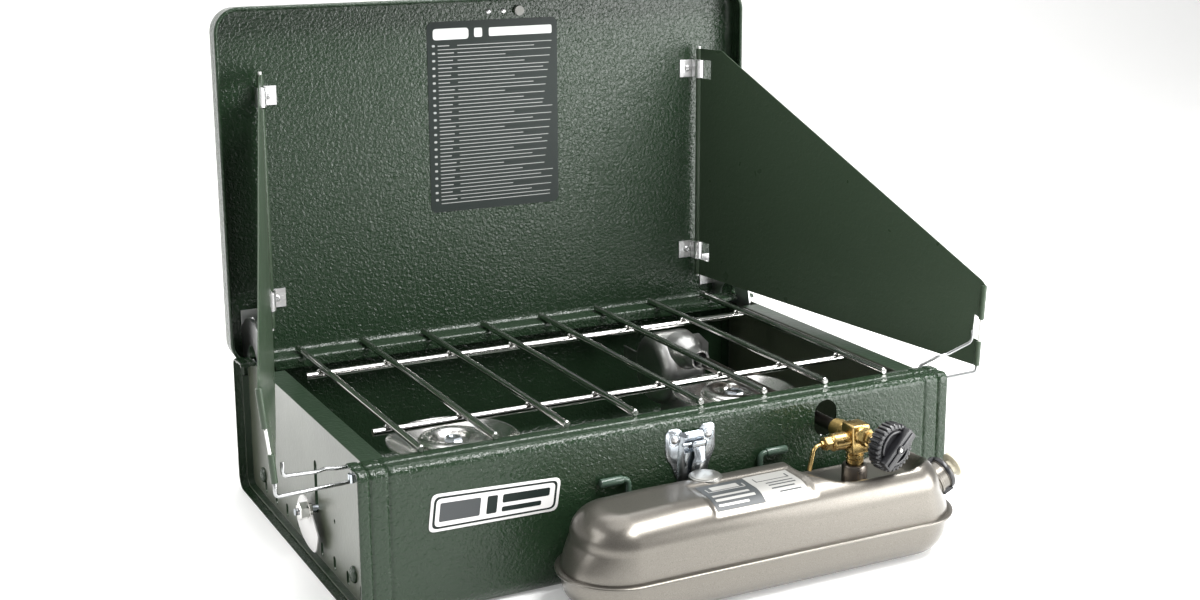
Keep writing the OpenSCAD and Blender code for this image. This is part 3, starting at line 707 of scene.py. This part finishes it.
def wing(s, body, names):
    reach = wing_frame(s)[3]
    zs = sorted({WING_Z0, WING_Z0 + 7, 134.4, 142.5, 150.6, 165, 182, 181.4, 199.8, 215, 234, 252, 268, 282,
                 295.4, 303.5, 311.6, 317, WING_Z1})
    us = [0, 5, 10, 15, 21, 26, 29, 34, 42, 54, 70, 90, 115, 145, 175, 205, 235, 262, 280, 292, 300, 301.5,
          305, reach - 2.5, reach - 0.7]
    span = WING_Z1 - WING_Z0
    def height(u, z):
        low = WING_Z0 + (HEM_Z0 - WING_Z0) * u / reach
        if u <= 26:
            high = WING_Z1
        elif u <= 29:
            high = WING_Z1 - 0.5
        else:
            high = WING_Z1 - 0.9 + (HEM_Z1 + 1.2 - WING_Z1 + 0.9) * (u - 29) / (reach - 29)
            high -= max(0, u - reach + 4) * 0.5
        return low + (high - low) * (z - WING_Z0) / span
    verts = [wing_at(s, u, 0, height(u, z)) for u in us for z in zs]
    faces = []
    nz = len(zs)
    for i in range(len(us) - 1):
        for j in range(nz - 1):
            mid_u, mid_z = (us[i] + us[i + 1]) / 2, height((us[i] + us[i + 1]) / 2, (zs[j] + zs[j + 1]) / 2)
            if mid_u < 15 and any(abs(mid_z - c) < 8.1 for c in CLIPS):
                continue
            if mid_u > 301 and 124 < mid_z < 141:
                continue
            a = i * nz + j
            faces.append([a, a + nz, a + nz + 1, a + 1])
    o = make(names[0] + "_sheet", verts, faces, WING, body, names[0], "wing_enamel", 50)
    sheet(o, 0.9, WING, body, 35, 0)
    parts = []
    edges = [WING_Z0, CLIPS[0] - 8.1, CLIPS[0] + 8.1, CLIPS[1] - 8.1, CLIPS[1] + 8.1, WING_Z1]
    for z0, z1 in zip(edges[0::2], edges[1::2]):
        parts.append(lathe([(1.7, z0), (2.5, z0 + 0.3), (2.6, z0 + 0.8), (2.6, z1 - 0.8), (2.5, z1 - 0.3),
                            (1.7, z1)], wing_at(s, 0, 0, 0), UP, 24))
    for z0, z1 in ((HEM_Z0, 124.0), (140.5, HEM_Z1)):
        a, b = wing_at(s, reach - 2.1, 0, z0), wing_at(s, reach - 2.1, 0, z1)
        h = (b - a).length
        parts.append(lathe([(1.3, 0.6), (1.5, 0.0), (2.1, 0.3), (2.15, 1.0), (2.15, h - 1), (2.05, h - 0.3),
                            (1.2, h)], a, b - a, 24))
    make(names[0] + "_hem", *join(parts), WING, body, None, "wing_enamel", 40)
    hinge = wing_at(s, 0, 0, 0)
    wires = [rod(hinge + UP * (WING_Z0 - 2), hinge + UP * (WING_Z1 + 2), 1.5, 20),
             rod(wing_at(s, reach - 2.1, 0, HEM_Z0 + 1.5), wing_at(s, reach - 2.1, 0, HEM_Z1 - 1), 1.0, 20)]
    make(names[1] + "_bar", *join(wires), WIRE, body, names[1], "white_wire")


wing(-1, "left_wing", ("wing_left", "wing_left_wires"))
wing(1, "right_wing", ("wing_right", "wing_right_wires"))


def bail(s, body, node):
    """Bent wire: its two legs leave a pivot in the case's corner and hook the wing's front hem."""
    reach = wing_frame(s)[3]
    foot = Vector((s * 224.6, -119.0, 0))
    hem = wing_at(s, reach - 2.1, 0, HEM_Z0)
    hem = Vector((hem.x, hem.y, 0))
    low = 96.0 if s < 0 else 100.5
    high = 109.0 if s < 0 else 123.6
    top = 101.5 if s < 0 else 104.5
    inner = wing_at(s, reach - 3, -7, 126) if s < 0 else wing_at(s, reach - 5.5, -3.8, 126)
    inner = Vector((inner.x, inner.y, 0))
    def on(t, z, side=0.0):
        d = (inner - foot).normalized()
        return foot + (inner - foot) * t + Vector((-d.y, d.x, 0)) * side + UP * z
    rise = high - top
    pts = [hem + UP * (HEM_Z0 + 2), hem + UP * low, foot + UP * 91, on(0, top),
           on(0.22, top + rise * 0.2, 0.8), on(0.36, top + rise * 0.42, -1.4),
           on(0.52, top + rise * 0.46, 0.5), on(1.0, high), on(1.0, high + 9)]
    make(node + "_bent", *tube(pts, 1.25, 3.5, 14), ZINC_WIRE, body, node, "white_wire", 60)


bail(-1, "left_bail", "bail_left")
bail(1, "right_bail", "bail_right")

# ------------------------------------------------------------------ hanger wires, latch, rivets


def hanger(s, node):
    x0, y = 11.5, -149.5
    pts = [(x0 + s * 30, -HALF_D + 1, 44), (x0 + s * 30, y, 44), (x0 + s * 52.5, y, 44),
           (x0 + s * 52.5, y, 71), (x0 + s * 62, y, 71)]
    make(node + "_bent", *tube(pts, 2.1, 7, 20), GREEN_WIRE, "case", node, "green_enamel", 60)
    a = x0 + (57 if s > 0 else -74)
    make(node + "_sleeve", *lathe([(2.2, 0), (2.9, 0.5), (3.0, 1), (3.0, 16.2), (2.7, 17)], (a, y, 71),
                                  (1, 0, 0), 28), GREEN_WIRE, "case", None, "green_enamel", 40)


hanger(-1, "hanger_wire_left")
hanger(1, "hanger_wire_right")


def smooth_loop(points, r=2.0):
    """Rounds the corners of a closed outline."""
    out = []
    n = len(points)
    for i in range(n):
        a, b, c = (Vector(points[(i + k) % n]) for k in (-1, 0, 1))
        u, w = a - b, c - b
        d = min(r, u.length * 0.4, w.length * 0.4)
        p, q = b + u.normalized() * d, b + w.normalized() * d
        for k in range(5):
            t = k / 4
            out.append(tuple(p * (1 - t) ** 2 + b * 2 * t * (1 - t) + q * t * t))
    return out


def plate(name, outline, y0, thick, material, body, node=None, slot=None, r=2.0, edge=0.3, place=front):
    o = make(name, *prism(smooth_loop(outline, r) if r else outline, y0, thick, place), material, body,
             node, slot, 35)
    return soften(o, edge, 2, material, body, 50) if edge else o


FACE = -HALF_D
latch_outline = [(-10.5, 96.5), (-8.5, 98.6), (-1, 99), (1.6, 97.2), (3, 95.2), (15.6, 95.6), (16.8, 97.6),
                 (18.6, 99.3), (26.5, 99.5), (28.4, 97.2), (28.6, 81), (26.6, 77), (23.2, 69), (22, 60.5),
                 (19, 57.2), (2, 57.2), (-3, 65), (-6, 73), (-9.8, 78.6), (-10.6, 83)]
plate("latch_plate", latch_outline, FACE - 1.3, 1.3, ZINC, "case", "latch_base", "zinc", 2.0, 0.45)


def latch_channel():
    """Raised, round-shouldered channel up the middle of the latch plate."""
    rows = []
    for z, half, lift in ((57.4, 8.4, 1.6), (60, 8.8, 3.2), (66, 9.0, 4.2), (74, 9.2, 5.0), (82, 9.0, 5.2),
                          (83.6, 8.9, 5.2),
                          (90, 8.4, 5.0), (92.3, 8.2, 4.9), (92.7, 8.2, 4.9), (95.4, 7.6, 4.4),
                          (96.2, 7.2, 3.2)):
        cx = 9.6 + (z - 57) * 0.012
        pts = []
        for k in range(17):
            t = -1 + 2 * k / 16
            rise = lift * min(1, (1 - abs(t)) * 3.2) ** 0.6 if abs(t) < 1 else 0
            valley = 1.6 * math.exp(-(t / 0.55) ** 2) if z < 83 else 0.4
            if 83 < z < 92.5 and -0.65 < t < 0.88:
                valley = rise
            pts.append((cx + t * (half + 2.2), FACE - 1.2 - max(rise - valley, 0), z))
        rows += pts
    return rows, grid_faces(11, 17, False)


o = make("latch_channel", *latch_channel(), ZINC, "case", None, "zinc", 60)
sheet(o, 0.8, ZINC, "case", 45)


def latch_tongue():
    """Waisted lever, flat at the top and spooned below."""
    rows, cols = [], 13
    steps = ((89.8, 4.6, 0.0, -6.6), (89.5, 5.0, 0.1, -7.1), (88.6, 5.2, 0.1, -7.3), (86.4, 5.3, 0.2, -7.4),
             (85.4, 5.2, 0.2, -6.7), (84.6, 5.0, 0.3, -6.9), (82, 4.3, 0.5, -7.8), (79, 4.2, 0.9, -8.2),
             (76.5, 5.2, 1.4, -8.3), (73, 6.0, 2.0, -8.0), (69, 6.2, 2.2, -7.3), (65, 5.8, 1.8, -6.5),
             (61.5, 4.8, 1.2, -5.8), (60.2, 3.4, 0.6, -5.4))
    for z, half, bulge, y in steps:
        for k in range(cols):
            t = -1 + 2 * k / (cols - 1)
            rows.append((13.4 - (94 - z) * 0.03 + t * half,
                         FACE + y - bulge * (1 - t * t) + 0.6 * max(abs(t) - 0.85, 0) * 8, z))
    return rows, grid_faces(len(steps), cols, False)


o = make("latch_tongue", *latch_tongue(), ZINC, "latch", "latch_lever", "zinc", 60)
sheet(o, 1.0, ZINC, "latch", 45)
make("latch_pin", *join([rod((0.2, FACE - 5.1, 88), (21, FACE - 5.1, 88), 1.2, 16),
                         box_mesh((7.4, FACE - 7.4, 86.6), (8.4, FACE - 4.2, 89.4)),
                         box_mesh((18.2, FACE - 7.4, 86.6), (19.2, FACE - 4.2, 89.4))]), ZINC, "latch",
     None, "zinc")


def dome(x, y, z, r, axis=(0, -1, 0), h=1.9):
    prof = [(r, -0.6), (r, 0.1)] + [(r * cosd(a), 0.1 + h * sind(a))
                                    for a in range(10, 90, 12)] + [(0.02, h + 0.1)]
    return lathe(prof, (x, y, z), axis, 24)


latch_rivets = [(-3.6, FACE - 1.3, 91), (22.7, FACE - 1.3, 91.6)]
make("latch_rivets", *join([dome(*p, 2.9) for p in latch_rivets]), SATIN, "case", "case_rivets", "zinc", 50)
bead = [(3.5, -0.2), (4.1, 0.25), (4.5, 0.25), (4.9, -0.2)]
make("latch_rivet_beads", *join([ring(bead, p, (0, -1, 0), 28) for p in latch_rivets]), ZINC, "case", None,
     "zinc", 60)
make("foot_rivets", *join([dome(s * (END_X + 0.1), y, 18.5, 6.0, (s, 0, 0), 2.8) for s in (-1, 1)
                           for y in (-99, 112)]), GREEN, "case", None, "green_enamel", 50)


def eyelet(x, y, z, r=2.7):
    return ring([(1.1, 0.0), (1.15, 0.9), (1.6, 1.35), (2.2, 1.2), (r, 0.5), (r, -0.5), (1.1, -0.5)],
                (x, y, z), (0, -1, 0), 28)


lid_face = lid_hi.y - 1.0
eyes = [eyelet(s * 208, lid_face - 1.2, 127) for s in (-1, 1)]
eyes += [eyelet(s * 187, lid_face - 1.0, z) for s in (-1, 1) for z in CLIPS]
make("lid_eyelets", *join(eyes), SATIN, "lid", "lid_rivets", "brass", 50)
make("strike_rivets", *join([dome(0, lid_face, 360, 2.4, h=1.2), dome(13.3, lid_face, 360, 2.4, h=1.2)]),
     SATIN, "lid", None, "brass", 50)


def clip(s, z):
    """Sprung clip: a tab under the eyelet that curls forward round the hinge wire."""
    path = [(179.5, lid_face - 0.5), (186, lid_face - 0.55), (190.6, lid_face - 0.6),
            (191.2, lid_face - 1.6), (190.6, 164), (190.4, 160.6)]
    path += [(194 + 3.6 * cosd(a), 160 + 3.6 * sind(a)) for a in range(180, 361, 20)]
    path += [(197.6, 162.4)]
    rows = []
    for zz in (z - 7.5, z - 3, z + 3, z + 7.5):
        rows += [(s * x, y, zz) for x, y in path]
    return rows, grid_faces(4, len(path), False)


o = make("clip_sheets", *join([clip(s, z) for s in (-1, 1) for z in CLIPS]), SATIN, "lid", "wing_clips",
         "nickel", 60)
sheet(o, 0.8, SATIN, "lid", 40, 0)

# ------------------------------------------------------------------ labels


def bars(rects, y, material, name, body, slot=None):
    parts = [prism(round_rect(*rect, 3), y - 0.06, 0.1, front) for rect in rects]
    return make(name, *join(parts), material, body, None, slot, 30)


lx0, lx1 = -54.0, 61.5
plate("lid_panel", round_rect(lx0, 198, lx1, 353.5, 5, 6), lid_face - 0.35, 0.35, DARK_INK, "lid",
      "lid_label", "label", 0, 0)
bars([(lx0 + 5, 339, lx0 + 36, 348, 2.5), (lx0 + 41, 340, lx0 + 48, 347.5, 1.2),
      (lx0 + 54, 340.2, lx1 - 5, 347.2, 1.2)], lid_face - 0.4, WHITE_INK, "lid_panel_head", "lid")
fine = []
for k in range(44):
    z = 333.6 - k * 3.0
    if z < 203:
        break
    if k % 2 == 0:
        fine.append((lx0 + 4, z - 0.2, lx0 + 6.6, z + 1.6, 0.8))
        fine.append((lx0 + 9, z + 0.2, lx0 + 19 + (k * 7) % 5, z + 0.9, 0.2))
        fine.append((lx0 + 26, z + 0.2, lx1 - 5 - (k * 5) % 9, z + 0.75, 0.2))
    else:
        fine.append((lx0 + 9, z + 0.2, lx1 - 8 - (k * 13) % 43, z + 0.75, 0.2))
bars(fine, lid_face - 0.4, PALE_INK, "lid_panel_lines", "lid")

fx = [(-184.3, 58.0), (-181.2, 83.4), (-89.8, 79.6), (-93.0, 57.0)]


def skew(u, v):
    """A point of the front label: u runs along it, v up it, both 0..1."""
    a = Vector(fx[0]).lerp(Vector(fx[3]), u)
    b = Vector(fx[1]).lerp(Vector(fx[2]), u)
    return tuple(a.lerp(b, v))


def quad(u0, v0, u1, v1):
    return [skew(u0, v0), skew(u1, v0), skew(u1, v1), skew(u0, v1)]


plate("front_plate", quad(0, 0, 1, 1), FACE - 1.3, 1.2, WHITE_PLATE, "case", "front_label", "silver_label",
      4.5, 0.1)
plate("front_plate_line", quad(0.022, 0.075, 0.978, 0.925), FACE - 1.38, 0.1, DARK_INK, "case", None,
      "label", 4, 0)
plate("front_plate_field", quad(0.04, 0.13, 0.96, 0.87), FACE - 1.46, 0.1, WHITE_PLATE, "case", None,
      "silver_label", 3.4, 0)
for k, (u0, v0, u1, v1, ink) in enumerate(((0.07, 0.25, 0.38, 0.75, GREY_INK),
                                           (0.43, 0.25, 0.51, 0.75, DARK_INK),
                                           (0.55, 0.50, 0.92, 0.74, DARK_INK),
                                           (0.55, 0.25, 0.86, 0.39, DARK_INK))):
    plate("front_block_%d" % k, quad(u0, v0, u1, v1), FACE - 1.54, 0.1, ink, "case", None, "label", 1.2, 0)

# ------------------------------------------------------------------ valve, knob and pump

GX, VY = 120.0, -184.0
AXIS = Vector((sind(8), -cosd(8), 0))
STEM = Vector((GX, VY - 7, 88))


def bevelled_box(name, lo, hi, width, material, body, node=None, slot=None):
    o = make(name, *box_mesh(lo, hi), material, body, node, slot)
    return soften(o, width, 4, material, body, 25)


bevelled_box("valve_block", (GX - 7.2, VY - 7.2, 74.6), (GX + 7.2, VY + 7.2, 95.4), 1.5, BRASS, "tank",
             "valve_body", "brass")
parts = [lathe([(5.2, 49), (5.2, 67.2), (6.3, 67.5), (6.3, 69.6), (5.6, 70.0), (5.6, 70.8), (6.4, 71.2),
                (6.4, 73), (5.8, 73.6), (5.8, 76)], (GX, VY, 0), UP, 40),
         lathe([(5.6, 0), (5.6, 1.5), (6.2, 1.9), (6.2, 12.6), (5.8, 13.1), (5.0, 13.4), (5.0, 14.2)],
               (GX - 7, VY, 84), (-1, 0, 0), 40), lathe([(6.2, -2), (6.2, 1.6), (5.7, 2.1)], STEM, AXIS,
                                                        40)]
make("valve_necks", *join(parts), BRASS, "tank", None, "brass", 35)
make("lever_hex", *lathe([(4.6, 0), (5.0, 0.5), (5.0, 5.4), (4.4, 6.1), (2.6, 6.4), (2.6, 8), (1.6, 8.4)],
                         (GX - 21, VY, 84), (-1, 0, 0), sides=6), BRASS, "tank", "lever_gland", "brass", 25)
make("packing_hex", *lathe([(5.8, 2), (6.6, 2.6), (6.6, 6.6), (5.8, 7.2), (4.4, 7.4), (4.4, 9.6),
                            (3.8, 10)], STEM, AXIS, sides=6, turn=0.4), BRASS, "tank", "packing_nut",
     "brass", 25)


def tapered_lever():
    path = smooth_path([(GX - 24, VY, 84), (GX - 34.5, VY, 83.4), (GX - 38.5, VY - 0.6, 67)], 9, 10)
    x = Vector((0, 1, 0))
    rows = []
    for i, p in enumerate(path):
        t = (path[min(i + 1, len(path) - 1)] - path[max(i - 1, 0)]).normalized()
        y = t.cross(x).normalized()
        k = i / (len(path) - 1)
        r = 1.25 + 0.25 * k
        rows += [p + d * r for d in spokes(x * (1 + 0.5 * k * k), y * (1 - 0.25 * k * k), 16)]
    return rows, capped(len(path), 16)


make("lever_bent", *tapered_lever(), BRASS, "lever", "lighting_lever", "brass", 50)
make("neck_collar", *lathe([(8.2, 51), (9.0, 51.5), (9.0, 64.2), (8.2, 65.4), (6.6, 65.8), (6.3, 65.8),
                            (6.3, 60)], (GX, VY, 0), UP, 48), COLLAR, "tank", "valve_collar",
     "dark_steel", 35)
make("generator_collar", *lathe([(6.2, 7.2), (6.9, 7.7), (6.9, 12), (7.2, 12.4), (7.2, 19), (6.6, 19.8),
                                 (6.6, 23.4), (5.6, 24)], (GX, VY, 85), (0, 1, 0), 40), BRASS_DULL, "tank",
     "generator_nut", "brass", 30)


def knob():
    x, y, z = basis(AXIS)
    n, R = 28, 17.0
    outline = []
    for k in range(n):
        a0 = 2 * math.pi * k / n
        for da, r in ((0.0, R - 1.5), (0.10, R - 1.4), (0.26, R - 0.2), (0.5, R), (0.74, R - 0.2),
                      (0.9, R - 1.4)):
            outline.append((a0 + da * 2 * math.pi / n, r))
    verts = []
    for h, grow in ((22.2, -2.2), (23.0, -1.0), (23.8, 0), (31.4, 0), (32.4, -0.7), (33.0, -2.4)):
        verts += [STEM + z * h + around(x, y, a) * (r + grow) for a, r in outline]
    for h, r0 in ((33.0, 13.6), (32.2, 13.0), (32.0, 1.0)):
        verts += [STEM + z * h + around(x, y, a) * r0 for a, r in outline]
    return verts, capped(9, len(outline))


make("knob_rim", *knob(), BLACK, "control", "valve_knob", "black_plastic", 32)
side_dir = AXIS.cross(UP).normalized()
tilt = Matrix.Rotation(math.radians(42), 3, AXIS)
bar_u, bar_v = tilt @ side_dir, tilt @ UP


def knob_point(u, v, w):
    return STEM + bar_u * u + bar_v * v + AXIS * w


def knob_part(name, outline, w, depth, width, segments=2):
    o = make(name, *prism(outline, w, depth, knob_point), BLACK, "control", None, "black_plastic")
    soften(o, width, segments, BLACK, "control", 35)


knob_part("knob_grip", [(-15.2, -4.6), (15.2, -4.6), (15.9, -3), (15.9, 3), (15.2, 4.6), (-15.2, 4.6),
                        (-15.9, 3), (-15.9, -3)], 31.6, 6.2, 0.8, 3)
knob_part("knob_ridge", [(-14.6, -1.1), (14.6, -1.1), (14.6, 1.1), (-14.6, 1.1)], 37.6, 1.2, 0.4)
for k, (a0, a1) in enumerate(((208, 332), (28, 152))):
    knob_part("knob_lip_%d" % k, arc(0, 0, 12.4, a0, a1, 14) + arc(0, 0, 10.6, a1, a0, 14), 31.8, 2.2, 0.4)
make("knob_boss", *lathe([(2.3, 37.6), (3.1, 37.8), (3.1, 39.0), (2.7, 39.2), (2.1, 38.9), (2.0, 38.0)],
                         STEM, AXIS, 32), BLACK, "control", None, "black_plastic", 35)
make("stem_and_screw", *lathe([(2.0, -7), (2.0, 36.8), (1.7, 37.2), (1.7, 38.4), (1.2, 38.9), (0.05, 39.0)],
                              STEM, AXIS, 32), STEEL, "control", "valve_stem", "steel", 40)

PA = Vector((cosd(25), 0, sind(25)))
PUMP = Vector((188, -190, 46))
FILLER = (6, -172, 0)
make("pump_tube", *lathe([(11, -62), (11, -5), (11.8, -4.4), (11.8, -2.6), (10.9, -2.0), (10.9, 2.6),
                          (11.5, 3.0), (11.5, 7.0), (10.6, 8.2), (6, 8.4), (5.6, 7.6), (2.6, 7.6)], PUMP,
                         PA, 56), TANK, "tank", "pump_barrel", "tank_paint", 35)
parts = [ring([(10.9, 3.4), (12.3, 3.6), (12.6, 4.2), (12.6, 6.0), (12.3, 6.6), (10.9, 6.8)], PUMP, PA, 48)]
px, py = basis(PA)[:2]
for a in (0.25, 0.25 + math.pi):
    d = around(px, py, a)
    e = PA.cross(d).normalized()
    place_clip = lambda u, w, q: PUMP + e * u + PA * w + d * q
    parts.append(prism([(-3, -3.6), (3, -3.6), (3, 4.6), (-3, 4.6)], 10.6, 2.8, place_clip))
make("pump_spring_clip", *join(parts), BLACK, "tank", "pump_clip", "black_plastic", 35)
make("pump_disc", *lathe([(4.6, 11), (4.8, 11.4), (4.8, 14), (8.2, 14.2), (9.2, 14.8), (9.5, 16),
                          (9.3, 18.0), (8.4, 19.0), (5.5, 19.3), (5.0, 18.7), (0.05, 18.7)], PUMP, PA, 48),
     CREAM, "pump_handle", "pump_knob", "cream_plastic", 40)
make("cap_turned", *join([lathe([(7.2, 72.4), (10.6, 72.6), (11.4, 72.2), (11.6, 71.2), (11.6, 67.3),
                                 (9.4, 67.3), (9.4, 62)][::-1], FILLER, UP, 48),
                          lathe([(10.6, 72.2), (10.4, 73.0), (9.6, 73.3), (0.05, 73.5)], FILLER, UP,
                                48)]), CAP, "cap", "filler_cap", "nickel", 35)

AUX_Y, AUX_Z = -22, 38


def aux_point(u, v, w):
    """A point of the auxiliary knob: u to the rear, v up from its stem, w out of the left end."""
    return Vector((-END_X - w, AUX_Y + u, AUX_Z + v))


aux_outline = [(-0.4, 4.2), (9.6, 7.7), (19.5, 4.6), (26.3, -2), (31.2, -11.0), (27.7, -19.4), (17.4, -26),
               (4.3, -29.1), (-12.3, -28.9), (-19.6, -13.5), (-13.8, -7.9)]
o = make("aux_plate", *prism(smooth_loop(aux_outline, 7), 5.0, 1.2, aux_point), WHITE_PLATE, "aux_control",
         "aux_knob", "steel", 30)
soften(o, 0.35, 2, WHITE_PLATE, "aux_control", 40)
stem_out = (-END_X, AUX_Y, AUX_Z)
make("aux_hub", *join([lathe([(6.2, 4.6), (6.6, 5.0), (6.6, 6.8), (5.6, 7.0)], stem_out, (-1, 0, 0), 32),
                       lathe([(5.4, 6.6), (6.3, 7.1), (6.3, 12.8), (5.5, 13.6), (2.4, 13.8)], stem_out,
                             (-1, 0, 0), sides=6, turn=0.3)]), CHROME, "aux_control", None, "nickel", 25)
make("aux_stem_tip", *lathe([(2.5, 12), (2.5, 15.2), (2.1, 15.8), (0.05, 15.9)], stem_out, (-1, 0, 0), 24),
     COPPER, "aux_control", None, "brass", 35)

# ------------------------------------------------------------------ burners


BURNER_X, BURNER_Y = 118, -27


def burner(x, tag):
    o = Vector((x, BURNER_Y, 0))
    top = [(25.5, 65.2), (29, 65.2), (31, 65.7), (35, 67.8), (41, 71.4), (44.5, 73.4), (46.2, 74.4),
           (47.2, 75.1), (48, 75.2), (48.5, 74.7)]
    under = [(48.2, 74.2), (47.2, 74.3), (45, 73.2), (41, 70.6), (35, 66.9), (31, 64.8), (29, 64.3),
             (25.5, 64.3)]
    p = make(tag + "_bowl_spun", *ring(top + under, o, UP, 96), SATIN, "case", tag + "_bowl", "steel", 50)
    holes = [(x + 39 * cosd(a), BURNER_Y + 39 * sind(a)) for a in (200, 320)]
    cut(p, [rod((hx, hy, 60), (hx, hy, 80), 1.8, 16) for hx, hy in holes])
    finish_piece(p, BOWL, "case", None, 40)
    prof = [(3.9, 72.0), (10.6, 72.0), (12.2, 72.6), (13.8, 75.0), (15.4, 76.4), (17.6, 77.0), (21.2, 77.0),
            (23.6, 76.4), (25.4, 75.0), (26.3, 73.4), (26.5, 72.5), (25.8, 72.1), (20, 72.3), (14.2, 72.0),
            (12.6, 70.7), (3.9, 70.7)]
    make(tag + "_cap_pressed", *ring(prof, o, UP, 96), BOWL, "case", tag + "_cap", "steel", 40)
    parts = [ring([(14, z), (24.6, z), (25.1, z + 0.3), (25.1, z + 1.0), (24.6, z + 1.4), (14, z + 1.4)],
                  o, UP, 72) for z in (59.4 + i * 2.6 for i in range(5))]
    parts.append(ring([(6, 47.2), (21, 47.2), (22, 48), (22, 59), (23.6, 59.4), (23.6, 71.6), (21.4, 71.6),
                       (21.2, 60), (20.6, 48.4), (6, 48.4)], o, UP, 72))
    make(tag + "_ring_stack", *join(parts), STEEL, "case", tag + "_rings", "steel", 35)
    return o


oa = burner(-BURNER_X, "aux_burner")
ob = burner(BURNER_X, "main_burner")
parts = []
for c in (oa, ob):
    parts.append(lathe([(6.6, 72.0), (7.0, 72.4), (7.0, 74.6), (6.0, 75.8), (3.0, 76.2), (2.6, 75.4),
                        (0.05, 75.4)], c, UP, sides=6, turn=0.5))
    parts.append(lathe([(3.9, 60.2), (3.9, 72)], c, UP, 24))
make("burner_hex_screws", *join(parts), ZINC, "case", "burner_screws", "zinc", 25)

# the grate's rods, and the weld beads where they cross its bars
rods_lo, rods_hi = cad("grate_rods")
ROD_R = 2.5
rod_xs = [rods_lo.x + 3.5 + i * (rods_hi.x - rods_lo.x - 7) / 7 for i in range(8)]
rod_z = rods_lo.z + ROD_R + 0.1
parts = [rod((x, rods_lo.y, rod_z), (x, rods_hi.y, rod_z), ROD_R, 28, 0.5) for x in rod_xs]
make("grate_rods_drawn", *join(parts), CHROME, "grate", "grate_rods", "nickel", 40)
bead = [(max(1.5 * sind(a), 0.02), -1.5 * cosd(a)) for a in range(0, 181, 30)]
beads = [lathe(bead, (x + dx, y, rods_lo.z + 0.5), UP, 12)
         for x in rod_xs for y in (-67.6, 78.9) for dx in (-2.6, 2.6)]
make("grate_welds", *join(beads), CHROME, "grate", None, "nickel", 60)

# ------------------------------------------------------------------ CAD nodes that are shown as they are

PAINT = {
    "end_panel_left": END_SHEEN_ENAMEL, "end_panel_right": END_SHEEN_ENAMEL, "bail_brackets": ZINC, "hinge_brackets": ZINC,
    "manifold": MANIFOLD, "aux_gas_tube": STEEL, "aux_valve_body": BRASS, "burner_supports": ZINC,
    "hinge_strap_left": SATIN, "hinge_strap_right": SATIN, "lid_strike": ZINC, "lid_bumper": RUBBER,
    "grate_crossbars": CHROME, "filler_neck": TANK, "generator_tube": DARK, "fuel_tube": BRASS,
    "pump_rod": STEEL, "tank_hangers": TANK, "aux_stem": ZINC,
}
for name, o in nodes.items():
    if o.hide_render:
        continue
    o.data.materials.clear()
    o.data.materials.append(PAINT[name])
    w = o.modifiers.new("weld", "WELD")
    w.merge_threshold = 1e-6
    bevel(o, 0.25, 2, 40)
    for p in o.data.polygons:
        p.use_smooth = True
    wn = o.modifiers.new("normals", "WEIGHTED_NORMAL")
    wn.keep_sharp = True

# ------------------------------------------------------------------ stage, light, camera

floor_mat = new_material("floor", (0.86, 0.86, 0.85), 0.6)
shader(floor_mat)["Emission Color"].default_value = (1, 1, 1, 1)
shader(floor_mat)["Emission Strength"].default_value = 0.22


def sweep_floor():
    prof = [(-3.0, 0.0), (1.2, 0.0)]
    prof += [(1.2 + 0.8 * sind(a), 0.8 - 0.8 * cosd(a)) for a in range(10, 91, 10)]
    prof += [(2.0, 3.0)]
    verts = [(x, y, z) for y, z in prof for x in (-5.0, 5.0)]
    me = bpy.data.meshes.new("floor")
    me.from_pydata(verts, [], grid_faces(len(prof), 2, False))
    o = bpy.data.objects.new("floor", me)
    bpy.context.scene.collection.objects.link(o)
    o.data.materials.append(floor_mat)
    for p in me.polygons:
        p.use_smooth = True
    return o


sweep_floor()

world = bpy.data.worlds.new("studio")
world.use_nodes = True
world.node_tree.nodes["Background"].inputs["Color"].default_value = (1, 1, 1, 1)
world.node_tree.nodes["Background"].inputs["Strength"].default_value = 0.38
bpy.context.scene.world = world


def area(name, place, target, size, power, size_y=None):
    d = bpy.data.lights.new(name, "AREA")
    d.energy = power
    d.size = size
    if size_y:
        d.shape = "RECTANGLE"
        d.size_y = size_y
    o = bpy.data.objects.new(name, d)
    bpy.context.scene.collection.objects.link(o)
    o.location = place
    o.visible_camera = False
    o.rotation_euler = (Vector(target) - Vector(place)).to_track_quat("-Z", "Y").to_euler()
    return o


area("top_box", (0.0, 0.1, 1.7), (0, 0, 0.1), 1.4, 8, 1.0)
area("front_strip", (0.55, -0.62, 1.45), (0, -0.1, 0.1), 1.5, 50, 0.55)
area("left_box", (-1.7, 0.5, 1.0), (-0.3, 0.2, 0.0), 1.2, 18)
area("right_low", (1.25, -1.05, 0.42), (0.1, -0.1, 0.1), 0.9, 9, 0.8)
area("low_box", (0.6, -0.62, 0.22), (0.15, -0.14, 0.06), 0.55, 4.5, 0.4)
area("back_box", (0.3, 1.2, 1.6), (0, 0, 0.2), 1.2, 10)

cam_data = bpy.data.cameras.new("camera")
cam_data.lens = 50.03
cam_data.sensor_width = 36
cam_data.shift_y = -0.0478
cam_data.clip_start = 0.05
cam_data.clip_end = 50
cam = bpy.data.objects.new("camera", cam_data)
bpy.context.scene.collection.objects.link(cam)
cam.location = (-0.5410, -1.0879, 0.4691)
cam.rotation_euler = (math.radians(90 - 12.476), math.radians(0.279), math.radians(-27.127))
bpy.context.scene.camera = cam
bpy.context.scene.view_settings.view_transform = "Standard"
